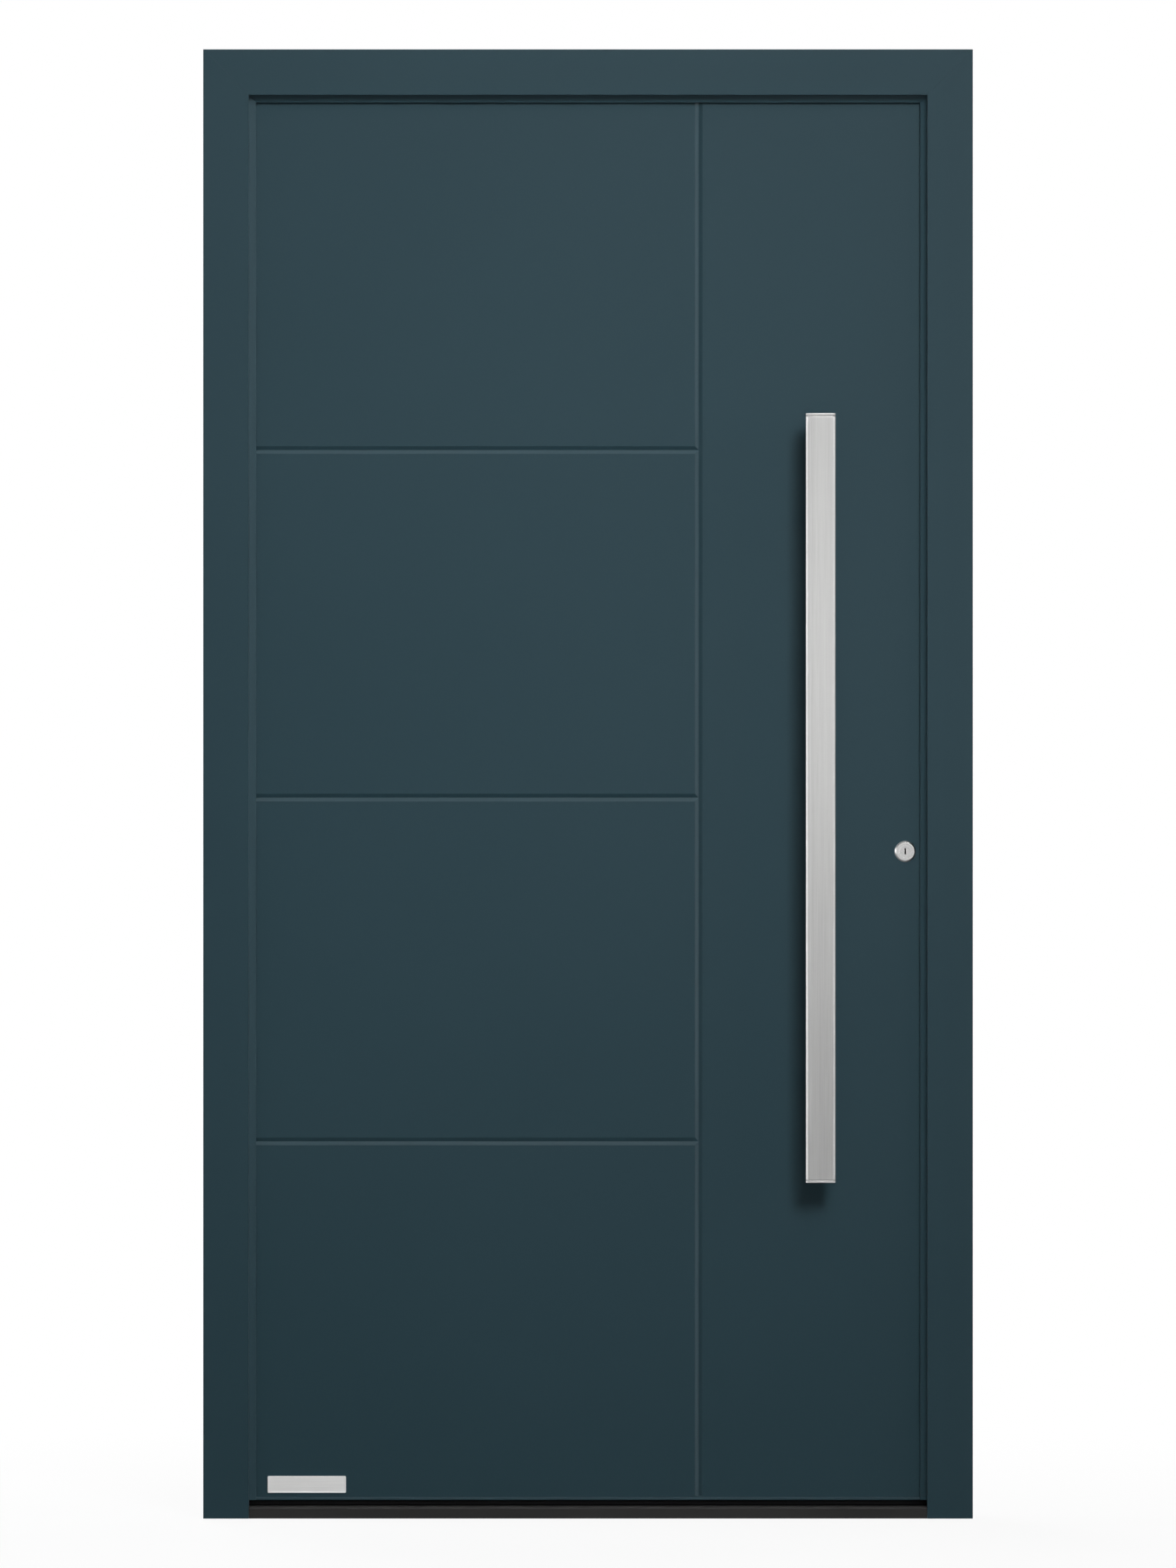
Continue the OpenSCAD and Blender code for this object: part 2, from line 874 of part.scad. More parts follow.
// Runs an upright vee and the level ones that meet it
module vee_runs(apex, y_open) {
    along_z(leaf_bottom + groove_foot, groove_top) translate([groove_x, 0]) rotate(90) mirror([0, 1])
        vee(apex, y_open);
    for (z = groove_heights) along_x(groove_left, groove_x) translate([0, z]) vee(apex, y_open);
}

module stud_holes(r, y0, y1) {
    for (z = posts) rod_y(bar_x, z, y0, y1, r);
}

module outer_skin() {
    color(paint) difference() {
        union() {
            tray(leaf_y0, band_y0, leaf_y0 + skin_t, band_y0 + over);
            vee_runs(ridge_apex, skin_t / 2);
        }
        vee_runs(groove_d, -over);
        stud_holes(stud_r + fit, leaf_y0 - over, leaf_y0 + skin_t + over);
        rod_y(lock_x, cyl_z, leaf_y0 - over, leaf_y0 + skin_t + over, rose_spigot + fit);
    }
}

module inner_skin() {
    color(paint) difference() {
        tray(band_y1, leaf_y1, band_y1 - over, leaf_y1 - skin_t);
        rod_y(lock_x, lever_z, leaf_y1 - skin_t - over, leaf_y1 + over, hub_hole);
        cylinder_hole(leaf_y1 - skin_t - over, leaf_y1 + over);
    }
}

module foam_core() {
    color(foam) difference() {
        box(-core_x, core_x, leaf_y0 + skin_t, leaf_y1 - skin_t, core_z0, core_z1);
        vee_runs(ridge_apex, skin_t / 2);
        stud_holes(flange_r, leaf_y0, leaf_y0 + skin_t + flange_t);
        stud_holes(stud_r, leaf_y0, leaf_y0 + skin_t + stud_in);
    }
}

// Hollow edge profile, drawn as distance from the leaf's edge and depth
module edge_section() {
    y0 = leaf_y0 + skin_t;
    y1 = leaf_y1 - skin_t;
    difference() {
        polygon([
            [skin_t, y0], [stile_w, y0], [stile_w, y1], [skin_t, y1],
            [skin_t, band_y1], [0, band_y1], [0, band_y0], [skin_t, band_y0]
        ]);
        translate([edge_t, y0 + stile_t])
            square([stile_w - edge_t - stile_t, y1 - y0 - 2 * stile_t]);
    }
}

module stile() {
    translate([-leaf_x, 0, 0]) along_z(leaf_bottom + skin_t, leaf_top - skin_t) edge_section();
}

// Level edge profile that hangs down from its outer edge, which lies at z
module rail() {
    translate([-core_x, 0, 0]) rotate([0, 90, 0]) linear_extrude(2 * core_x) edge_section();
}

module hinge_stile() {
    color(plastic) difference() {
        stile();
        vee_runs(ridge_apex, skin_t / 2);
        for (z = [dog_low_z, dog_top_z])
            rod_x(lock_y, z, -leaf_x - over, -leaf_x + edge_t + over, dog_r + fit);
    }
}

module lock_stile() {
    color(plastic) difference() {
        mirrored_x() stile();
        box(plate_x - fit, leaf_x + over, lock_y - plate_w / 2 - fit, lock_y + plate_w / 2 + fit,
            plate_z0 - fit, plate_z1 + fit);
        box(leaf_x - edge_t - over, plate_x, case_y0 - fit, case_y1 + fit, case_z0 - fit, case_z1 + fit);
        for (z = [upper_bolt_z, lower_bolt_z])
            box(leaf_x - edge_t - over, plate_x, case_y0 - fit, case_y1 + fit,
                z - bolt_case_h / 2 - fit, z + bolt_case_h / 2 + fit);
        rod_slot(lower_bolt_z, upper_bolt_z);
        rod_y(lock_x, cyl_z, leaf_y0, leaf_y0 + skin_t + stile_t + over, rose_spigot + fit);
        cylinder_hole(leaf_y0, leaf_y1);
        rod_y(lock_x, lever_z, lock_y, leaf_y1, hub_hole);
    }
}

module top_rail() {
    color(plastic) difference() {
        translate([0, 0, leaf_top]) rail();
        vee_runs(ridge_apex, skin_t / 2);
    }
}

module bottom_rail() {
    color(plastic) difference() {
        translate([0, 0, leaf_bottom]) mirror([0, 0, 1]) rail();
        vee_runs(ridge_apex, skin_t / 2);
    }
}

module bottom_seal() {
    y0 = leaf_y0 + foot_inset;
    y1 = y0 + foot_w;
    lip = sill_h + seal_clear;
    c = foot_chamfer;
    color(rubber) along_x(-leaf_x + foot_inset, leaf_x - foot_inset) difference() {
        polygon([
            [y0, leaf_bottom], [y0, lip + c], [y0 + c, lip], [y1 - c, lip],
            [y1, lip + c], [y1, leaf_bottom]
        ]);
        translate([(y0 + y1) / 2, (lip + leaf_bottom) / 2]) circle(foot_bore);
    }
}

module drip_trim() {
    h = groove_foot - drip_gap;
    out = seal_gap - seal_clear;
    color(paint) along_x(groove_left, -groove_left) polygon([
        [leaf_y0, leaf_bottom], [leaf_y0, leaf_bottom + h], [leaf_y0 - out / 2, leaf_bottom + h],
        [leaf_y0 - out, leaf_bottom + h / 2], [leaf_y0 - out, leaf_bottom]
    ]);
}

module nameplate() {
    color(steel) along_y(leaf_y0 - tag_t, leaf_y0) translate([tag_x, tag_z])
        rounded(tag_w, tag_h, tag_corner);
}

module hinge_dogs() {
    reach = edge_t + dog_out;
    color(steel) for (z = [dog_low_z, dog_top_z])
        translate([-leaf_x + edge_t, lock_y, z]) rotate([0, -90, 0]) rotate_extrude() polygon([
            [0, 0], [dog_r, 0], [dog_r, reach - dog_taper], [dog_r - dog_taper, reach], [0, reach]
        ]);
}

// Multipoint lock

module rod_slot(z0, z1) {
    box(rod_x0 - slide, plate_x + fit, lock_y - rod_w / 2 - slide, lock_y + rod_w / 2 + slide, z0, z1);
}

module bolt_window(x0, x1, z) {
    box(x0, x1, bolt_y0 - slide, bolt_y1 + slide, z - bolt_h / 2 - slide, z + bolt_h / 2 + slide);
}

module lock_faceplate() {
    color(steel) difference() {
        along_x(plate_x, leaf_x) translate([lock_y - plate_w / 2, plate_z0])
            rounded(plate_w, plate_z1 - plate_z0, plate_corner);
        for (z = [latch_z, deadbolt_z, upper_bolt_z, lower_bolt_z])
            bolt_window(plate_x - over, leaf_x + over, z);
    }
}

// Folded sheet case, open at its front
module lock_case(x0, z0, z1) {
    t = case_wall;
    difference() {
        box(x0, plate_x, case_y0, case_y1, z0, z1);
        box(x0 + t, plate_x + over, case_y0 + t, case_y1 - t, z0 + t, z1 - t);
    }
}

module main_lock_case() {
    color(zinc) difference() {
        lock_case(case_x, case_z0, case_z1);
        cylinder_hole(case_y0 - over, case_y1 + over);
        rod_y(lock_x, lever_z, case_y0 - over, case_y1 + over, journal_r + run);
        rod_slot(case_z0 - over, case_z0 + 2 * case_wall);
        rod_slot(case_z1 - 2 * case_wall, case_z1 + over);
    }
}

module upper_bolt_case() {
    z0 = upper_bolt_z - bolt_case_h / 2;
    color(zinc) difference() {
        lock_case(bolt_case_x, z0, z0 + bolt_case_h);
        rod_slot(z0 - over, z0 + 2 * case_wall);
    }
}

module lower_bolt_case() {
    z0 = lower_bolt_z - bolt_case_h / 2;
    color(zinc) difference() {
        lock_case(bolt_case_x, z0, z0 + bolt_case_h);
        rod_slot(z0 + bolt_case_h - 2 * case_wall, z0 + bolt_case_h + over);
    }
}

module sliding_bolt(z) {
    nose = bolt_nose;
    color(steel) along_z(z - bolt_h / 2, z + bolt_h / 2) polygon([
        [leaf_x - bolt_len, bolt_y0], [leaf_x - nose, bolt_y0], [leaf_x, bolt_y0 + nose],
        [leaf_x, bolt_y1 - nose], [leaf_x - nose, bolt_y1], [leaf_x - bolt_len, bolt_y1]
    ]);
}

module deadbolt() {
    sliding_bolt(deadbolt_z);
}

module upper_bolt() {
    sliding_bolt(upper_bolt_z);
}

module lower_bolt() {
    sliding_bolt(lower_bolt_z);
}

// Latch with a slope towards outside, and a tail whose hook the follower draws back
module latch_bolt() {
    tip = leaf_x + latch_throw;
    slope = bolt_t * 2 / 3;
    hook_x = lock_x - arm_w / 2 - hook_gap;
    tail_z0 = latch_z - bolt_h / 2 + tail_rise;
    color(steel) union() {
        along_z(latch_z - bolt_h / 2, latch_z + bolt_h / 2) polygon([
            [leaf_x - latch_body, bolt_y0], [tip - slope, bolt_y0], [tip, bolt_y0 + slope],
            [tip, bolt_y1], [leaf_x - latch_body, bolt_y1]
        ]);
        box(hook_x - hook_w, leaf_x - latch_body + over, lock_y - tail_t / 2, lock_y + tail_t / 2,
            tail_z0, tail_z0 + tail_h);
        box(hook_x - hook_w, hook_x, lock_y - tail_t / 2, lock_y + tail_t / 2,
            lever_z + hub_r + tail_gap, tail_z0 + over);
    }
}

module follower() {
    inner = case_t / 2 - case_wall - slide;
    color(zinc) difference() {
        union() {
            rod_y(lock_x, lever_z, case_y0, case_y1, journal_r);
            rod_y(lock_x, lever_z, lock_y - inner, lock_y + inner, hub_r);
            box(lock_x - arm_w / 2, lock_x + arm_w / 2, lock_y - inner, lock_y + inner,
                lever_z, lever_z + arm_r);
        }
        square_hole(case_y0 - over, case_y1 + over);
    }
}

module square_hole(y0, y1) {
    half = spindle_w / 2 + fit;
    box(lock_x - half, lock_x + half, y0, y1, lever_z - half, lever_z + half);
}

module spindle() {
    half = spindle_w / 2;
    color(zinc) box(lock_x - half, lock_x + half, case_y0, grip_y - grip_r, lever_z - half, lever_z + half);
}

module drive_rods() {
    y0 = lock_y - rod_w / 2;
    y1 = lock_y + rod_w / 2;
    low_room = bolt_h / 2 + rod_back;
    high_room = low_room + bolt_throw;
    color(zinc) {
        box(rod_x0, rod_x1, y0, y1, case_z1 - rod_lap, upper_bolt_z - high_room);
        box(rod_x0, rod_x1, y0, y1, lower_bolt_z + low_room, case_z0 + rod_lap);
    }
}

// Key cylinder

module cylinder_section(grow) {
    translate([lock_x, cyl_z]) {
        circle(head_r + grow);
        translate([-web_w / 2 - grow, -web_drop]) square([web_w + 2 * grow, web_drop]);
        translate([0, -web_drop]) circle(web_w / 2 + grow);
    }
}

module cylinder_hole(y0, y1) {
    along_y(y0, y1) cylinder_section(2 * fit);
}

module cylinder_body() {
    color(brass) difference() {
        along_y(cyl_y0, cyl_y1) cylinder_section(0);
        rod_y(lock_x, cyl_z, cyl_y0 - over, cyl_y1 + over, plug_r + run);
        rod_y(lock_x, cyl_z, lock_y - cam_gap / 2, lock_y + cam_gap / 2, cam_r + slide);
    }
}

module keyway(y0, y1) {
    box(lock_x - keyway_w / 2, lock_x + keyway_w / 2, y0, y1, cyl_z - keyway_h / 2, cyl_z + keyway_h / 2);
}

module outer_plug() {
    color(brass) difference() {
        rod_y(lock_x, cyl_z, cyl_y0, lock_y - cam_w / 2 - fit, plug_r);
        keyway(cyl_y0 - over, cyl_y0 + keyway_d);
    }
}

module inner_plug() {
    color(brass) difference() {
        rod_y(lock_x, cyl_z, lock_y + cam_w / 2 + fit, cyl_y1, plug_r);
        keyway(cyl_y1 - keyway_d, cyl_y1 + over);
    }
}

module cylinder_cam() {
    color(zinc) union() {
        rod_y(lock_x, cyl_z, lock_y - cam_w / 2, lock_y + cam_w / 2, head_r);
        intersection() {
            box(lock_x - cam_nose_w / 2, lock_x + cam_nose_w / 2, lock_y - cam_w / 2, lock_y + cam_w / 2,
                cyl_z, cyl_z + cam_r);
            rod_y(lock_x, cyl_z, lock_y - cam_w / 2, lock_y + cam_w / 2, cam_r);
        }
    }
}

module outer_rose() {
    color(steel) about_y(lock_x, leaf_y0, cyl_z) rotate_extrude() polygon([
        [disc_r + run, skin_t], [rose_spigot, skin_t], [rose_spigot, 0], [rose_r, 0],
        [rose_r, -rose_h / 2], [rose_r - rose_h / 2, -rose_h], [disc_r + run, -rose_h]
    ]);
}

module keyway_disc() {
    color(steel) difference() {
        union() {
            rod_y(lock_x, cyl_z, leaf_y0 - rose_h + disc_sunk, leaf_y0, disc_r);
            rod_y(lock_x, cyl_z, leaf_y0 - over, cyl_y0, plug_r);
        }
        keyway(leaf_y0 - rose_h - over, cyl_y0 + over);
    }
}

// Dished rose on the inside of the leaf
module inner_rose(z, bore) {
    about_y(lock_x, leaf_y1, z) rotate_extrude() polygon([
        [bore, 0], [inner_rose_r, 0], [inner_rose_r, inner_rose_h - rose_bevel],
        [inner_rose_r - rose_bevel, inner_rose_h], [bore, inner_rose_h]
    ]);
}

module cylinder_rose() {
    color(steel) difference() {
        inner_rose(cyl_z, 0);
        cylinder_hole(leaf_y1 - over, leaf_y1 + inner_rose_h + over);
    }
}

module lever_rose() {
    color(steel) inner_rose(lever_z, grip_r + run);
}

module lever() {
    color(steel) difference() {
        union() {
            rod_y(lock_x, lever_z, neck_y0, grip_y, grip_r);
            translate([lock_x, grip_y, lever_z]) sphere(grip_r);
            rod_x(grip_y, lever_z, lock_x - grip_len, lock_x, grip_r);
            translate([lock_x - grip_len, grip_y, lever_z]) sphere(grip_r);
        }
        square_hole(neck_y0 - over, grip_y - grip_r + fit);
    }
}

// Bar handle

module bar_outline(inset, chamfer) {
    w = bar_w / 2 - inset;
    y0 = bar_front + inset;
    y1 = bar_back - inset;
    c = chamfer;
    polygon([
        [bar_x - w + c, y0], [bar_x + w - c, y0], [bar_x + w, y0 + c], [bar_x + w, y1 - c],
        [bar_x + w - c, y1], [bar_x - w + c, y1], [bar_x - w, y1 - c], [bar_x - w, y0 + c]
    ]);
}

module bar_tube() {
    ends = bar_cap + bar_joint;
    color(steel) along_z(bar_z0 + ends, bar_z1 - ends) difference() {
        bar_outline(0, bar_chamfer);
        bar_outline(bar_t, bar_chamfer / 2);
    }
}

module bar_cap_at(z, way) {
    translate([0, 0, z]) mirror([0, 0, way]) {
        along_z(0, bar_cap) bar_outline(0, bar_chamfer);
        along_z(bar_cap, bar_cap + bar_joint) bar_outline(bar_joint, bar_chamfer);
        along_z(bar_cap, bar_cap + bar_joint + plug_d) bar_outline(bar_t + fit, bar_chamfer / 2);
    }
}

module bar_caps() {
    color(steel) {
        bar_cap_at(bar_z0, 0);
        bar_cap_at(bar_z1, 1);
    }
}

module bar_posts() {
    color(steel) for (z = posts) difference() {
        union() {
            rod_y(bar_x, z, bar_back, leaf_y0 - collar_h, post_r);
            rod_y(bar_x, z, leaf_y0 - collar_h, leaf_y0, collar_r);
        }
        rod_y(bar_x, z, leaf_y0 - stud_out - fit, leaf_y0 + over, stud_r + fit);
    }
}

module bar_studs() {
    color(zinc) for (z = posts) {
        rod_y(bar_x, z, leaf_y0 - stud_out, leaf_y0 + skin_t + stud_in, stud_r);
        rod_y(bar_x, z, leaf_y0 + skin_t, leaf_y0 + skin_t + flange_t, flange_r);
    }
}

hinge_jamb_outer();
hinge_jamb_inner();
lock_jamb_outer();
lock_jamb_inner();
head_outer();
head_inner();
frame_breaks();
corner_cleats();
frame_gasket();
threshold_outer();
threshold_core();
threshold_inner();
main_strike();
upper_strike();
lower_strike();
dog_keeps();
hinge_bottom_frame_wing();
hinge_middle_frame_wing();
hinge_top_frame_wing();
hinge_bottom_pin();
hinge_middle_pin();
hinge_top_pin();
outer_skin();
inner_skin();
foam_core();
hinge_stile();
lock_stile();
top_rail();
bottom_rail();
bottom_seal();
drip_trim();
lock_faceplate();
main_lock_case();
upper_bolt_case();
lower_bolt_case();
hinge_bottom_leaf_wing();
hinge_middle_leaf_wing();
hinge_top_leaf_wing();
hinge_dogs();
bar_tube();
bar_caps();
bar_posts();
bar_studs();
nameplate();
outer_rose();
cylinder_rose();
cylinder_body();
lever_rose();
lever();
spindle();
follower();
latch_bolt();
deadbolt();
upper_bolt();
lower_bolt();
drive_rods();
keyway_disc();
outer_plug();
inner_plug();
cylinder_cam();
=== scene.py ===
import json
import math
import bpy
import bmesh
from mathutils import Matrix, Vector


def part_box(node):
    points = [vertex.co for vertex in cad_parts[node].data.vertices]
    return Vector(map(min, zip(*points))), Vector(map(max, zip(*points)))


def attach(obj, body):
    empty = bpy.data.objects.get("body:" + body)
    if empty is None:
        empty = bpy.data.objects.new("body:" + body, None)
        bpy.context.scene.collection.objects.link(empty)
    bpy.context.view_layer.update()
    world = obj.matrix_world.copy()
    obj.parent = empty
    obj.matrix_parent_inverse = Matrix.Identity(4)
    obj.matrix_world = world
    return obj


# Anthracite front door in its frame: finishes, screws, trim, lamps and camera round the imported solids
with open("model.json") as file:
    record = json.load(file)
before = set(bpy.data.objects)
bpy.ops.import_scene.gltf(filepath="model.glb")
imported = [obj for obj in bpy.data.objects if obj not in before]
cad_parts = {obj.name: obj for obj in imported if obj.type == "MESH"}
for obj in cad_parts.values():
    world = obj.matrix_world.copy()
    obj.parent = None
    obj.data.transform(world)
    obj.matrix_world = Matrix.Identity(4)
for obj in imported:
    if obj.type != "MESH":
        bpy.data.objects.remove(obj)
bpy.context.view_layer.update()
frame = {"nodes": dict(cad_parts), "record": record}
nodes = frame["nodes"]
scene = bpy.context.scene
scene.view_settings.view_transform = "Standard"
print("door frame loaded with", len(nodes), "solids")

# Camera, square on to the outside of the door
photoView = {
    "distance": 14.0,  # long lens, so the lines stay parallel
    "eyeHeight": 1.05,
    "seenHeight": 2.241,  # height of the picture at the frame's outer face
    "faceY": -0.04,
    "sensor": 36.0,
    "clipEnd": 200.0,
}


def placeCamera():
    lens = bpy.data.cameras.new("photoCamera")
    lens.sensor_width = photoView["sensor"]
    lens.lens = photoView["sensor"] * photoView["distance"] / photoView["seenHeight"]
    lens.clip_end = photoView["clipEnd"]
    eye = bpy.data.objects.new("photoCamera", lens)
    eye.location = (0, photoView["faceY"] - photoView["distance"], photoView["eyeHeight"])
    eye.rotation_euler = (math.pi / 2, 0, 0)
    scene.collection.objects.link(eye)
    scene.camera = eye


placeCamera()
print("camera placed")


# Node helpers
def addNode(tree, kind, **settings):
    made = tree.nodes.new(kind)
    for key, value in settings.items():
        setattr(made, key, value)
    return made


def setInput(node, name, value):
    node.inputs[name].default_value = value


def join(tree, source, target):
    tree.links.new(source, target)


# A number or a colour is set on the socket, and anything else is linked to it
def feed(tree, socket, value):
    if isinstance(value, (int, float)):
        socket.default_value = value
    elif isinstance(value, tuple):
        socket.default_value = (*value, 1.0)
    else:
        join(tree, value, socket)


def mathNode(tree, operation, *values):
    made = addNode(tree, "ShaderNodeMath", operation=operation)
    for place, value in enumerate(values):
        feed(tree, made.inputs[place], value)
    return made.outputs[0]


def rangeNode(tree, source, fromLow, fromHigh, toLow=0.0, toHigh=1.0):
    made = addNode(tree, "ShaderNodeMapRange", clamp=True)
    join(tree, source, made.inputs["Value"])
    setInput(made, "From Min", fromLow)
    setInput(made, "From Max", fromHigh)
    setInput(made, "To Min", toLow)
    setInput(made, "To Max", toHigh)
    return made.outputs["Result"]


def noiseNode(tree, place, scale, detail, rough=0.5):
    made = addNode(tree, "ShaderNodeTexNoise")
    join(tree, place, made.inputs["Vector"])
    feed(tree, made.inputs["Scale"], scale)
    setInput(made, "Detail", detail)
    setInput(made, "Roughness", rough)
    return made.outputs["Fac"]


def mixColour(tree, factor, first, second):
    made = addNode(tree, "ShaderNodeMix", data_type="RGBA")
    join(tree, factor, made.inputs[0])
    feed(tree, made.inputs[6], first)  # A and B of the colour mix
    feed(tree, made.inputs[7], second)
    return made.outputs[2]


def mixValue(tree, factor, first, second):
    made = addNode(tree, "ShaderNodeMix", data_type="FLOAT")
    join(tree, factor, made.inputs[0])
    feed(tree, made.inputs[2], first)  # A and B of the value mix
    feed(tree, made.inputs[3], second)
    return made.outputs[0]


# A group that takes a place and some values, and puts out values
def newGroup(name, inputs, outputs):
    tree = bpy.data.node_groups.new(name, "ShaderNodeTree")
    tree.interface.new_socket("Place", in_out="INPUT", socket_type="NodeSocketVector")
    for label, value in inputs.items():
        kind = "NodeSocketVector" if isinstance(value, tuple) else "NodeSocketFloat"
        made = tree.interface.new_socket(label, in_out="INPUT", socket_type=kind)
        made.default_value = value
    for label in outputs:
        tree.interface.new_socket(label, in_out="OUTPUT", socket_type="NodeSocketFloat")
    return tree, tree.nodes.new("NodeGroupInput"), tree.nodes.new("NodeGroupOutput")


# Fine orange peel of powder coating, with slow clouds in its tone
powderShape = {
    "inputs": {"Grain": 900.0, "Cloud": 2.5},
    "peelDetail": 3.0,
    "peelRough": 0.55,
    "peelTone": (0.3, 0.35),  # share of the peel in the tone, and the tone without it
    "cloudDetail": 4.0,
    "cloudBand": (0.3, 0.7),
    "cloudTone": (0.8, 1.2),
}


def makePowderGrain():
    shape = powderShape
    tree, given, out = newGroup("powderGrain", shape["inputs"], ("Tone", "Rough", "Height"))
    place = given.outputs["Place"]
    peel = noiseNode(tree, place, given.outputs["Grain"], shape["peelDetail"], shape["peelRough"])
    cloud = noiseNode(tree, place, given.outputs["Cloud"], shape["cloudDetail"])
    peeled = mathNode(tree, "MULTIPLY_ADD", peel, *shape["peelTone"])
    clouded = rangeNode(tree, cloud, *shape["cloudBand"], *shape["cloudTone"])
    join(tree, mathNode(tree, "MULTIPLY", peeled, clouded), out.inputs["Tone"])
    join(tree, rangeNode(tree, cloud, *shape["cloudBand"]), out.inputs["Rough"])
    join(tree, peel, out.inputs["Height"])
    return tree


# Edges, found by how far a rounded normal turns from the flat one
edgeShape = {
    "inputs": {"Radius": 0.001, "Breakup": 60.0},
    "samples": 6,
    "turnBand": (0.02, 0.25),
    "patchDetail": 5.0,
    "patchBand": (0.35, 0.65),
    "patchWear": (0.35, 1.0),
}


def makeEdgeWear():
    shape = edgeShape
    tree, given, out = newGroup("edgeWear", shape["inputs"], ("Mask",))
    rounded = addNode(tree, "ShaderNodeBevel", samples=shape["samples"])
    join(tree, given.outputs["Radius"], rounded.inputs["Radius"])
    flat = addNode(tree, "ShaderNodeNewGeometry")
    turn = addNode(tree, "ShaderNodeVectorMath", operation="DOT_PRODUCT")
    join(tree, rounded.outputs["Normal"], turn.inputs[0])
    join(tree, flat.outputs["Normal"], turn.inputs[1])
    away = mathNode(tree, "SUBTRACT", 1.0, turn.outputs["Value"])
    edge = rangeNode(tree, away, *shape["turnBand"])
    patchy = noiseNode(tree, given.outputs["Place"], given.outputs["Breakup"], shape["patchDetail"])
    worn = rangeNode(tree, patchy, *shape["patchBand"], *shape["patchWear"])
    join(tree, mathNode(tree, "MULTIPLY", edge, worn), out.inputs["Mask"])
    return tree


# Brushing, as noise drawn out along the stroke
brushShape = {
    "inputs": {"Stroke": (900.0, 900.0, 12.0)},
    "fine": (1.0, 6.0, 0.65),  # scale, detail and roughness of the noise
    "broad": (0.11, 3.0, 0.5),
    "fineShare": 0.6,
    "broadShare": 0.4,
    "toneBand": (0.3, 0.7),
    "roughBand": (0.25, 0.75),
}


def makeBrushGrain():
    shape = brushShape
    tree, given, out = newGroup("brushGrain", shape["inputs"], ("Tone", "Rough", "Height"))
    drawn = addNode(tree, "ShaderNodeVectorMath", operation="MULTIPLY")
    join(tree, given.outputs["Place"], drawn.inputs[0])
    join(tree, given.outputs["Stroke"], drawn.inputs[1])
    fine = noiseNode(tree, drawn.outputs[0], *shape["fine"])
    broad = noiseNode(tree, drawn.outputs[0], *shape["broad"])
    fineTone = mathNode(tree, "MULTIPLY", fine, shape["fineShare"])
    broadTone = mathNode(tree, "MULTIPLY", broad, shape["broadShare"])
    both = mathNode(tree, "ADD", fineTone, broadTone)
    join(tree, rangeNode(tree, both, *shape["toneBand"]), out.inputs["Tone"])
    join(tree, rangeNode(tree, fine, *shape["roughBand"]), out.inputs["Rough"])
    join(tree, fine, out.inputs["Height"])
    return tree


# Thin dust on faces that look up
dustShape = {
    "inputs": {"Patch": 30.0},
    "upBand": (0.5, 1.0),
    "patchDetail": 6.0,
    "patchBand": (0.3, 0.75),
    "patchDust": (0.15, 1.0),
}


def makeDustFilm():
    shape = dustShape
    tree, given, out = newGroup("dustFilm", shape["inputs"], ("Mask", "Upward"))
    way = addNode(tree, "ShaderNodeNewGeometry")
    parts = addNode(tree, "ShaderNodeSeparateXYZ")
    join(tree, way.outputs["Normal"], parts.inputs[0])
    up = rangeNode(tree, parts.outputs["Z"], *shape["upBand"])
    patch = noiseNode(tree, given.outputs["Place"], given.outputs["Patch"], shape["patchDetail"])
    dusty = rangeNode(tree, patch, *shape["patchBand"], *shape["patchDust"])
    join(tree, mathNode(tree, "MULTIPLY", up, dusty), out.inputs["Mask"])
    join(tree, up, out.inputs["Upward"])
    return tree


powderGrain = makePowderGrain()
edgeWear = makeEdgeWear()
brushGrain = makeBrushGrain()
dustFilm = makeDustFilm()


def placeGroup(tree, group, coords, **values):
    made = addNode(tree, "ShaderNodeGroup", node_tree=group)
    join(tree, coords, made.inputs["Place"])
    for name, value in values.items():
        setInput(made, name, value)
    return made


# A new material with its shader, its coordinates and a bump on rounded edges
def startFinish(name, look):
    finish = bpy.data.materials.new(name)
    finish.use_nodes = True
    tree = finish.node_tree
    shader = tree.nodes["Principled BSDF"]
    setInput(shader, "Metallic", look["metal"])
    setInput(shader, "Specular IOR Level", look["shine"])
    coords = addNode(tree, "ShaderNodeTexCoord").outputs["Object"]
    soft = addNode(tree, "ShaderNodeBevel", samples=edgeShape["samples"])
    setInput(soft, "Radius", look["edgeRadius"])
    relief = addNode(tree, "ShaderNodeBump")
    strength, distance = look["bump"]
    setInput(relief, "Strength", strength)
    setInput(relief, "Distance", distance)
    join(tree, soft.outputs["Normal"], relief.inputs["Normal"])
    join(tree, relief.outputs["Normal"], shader.inputs["Normal"])
    return finish, tree, shader, coords, relief


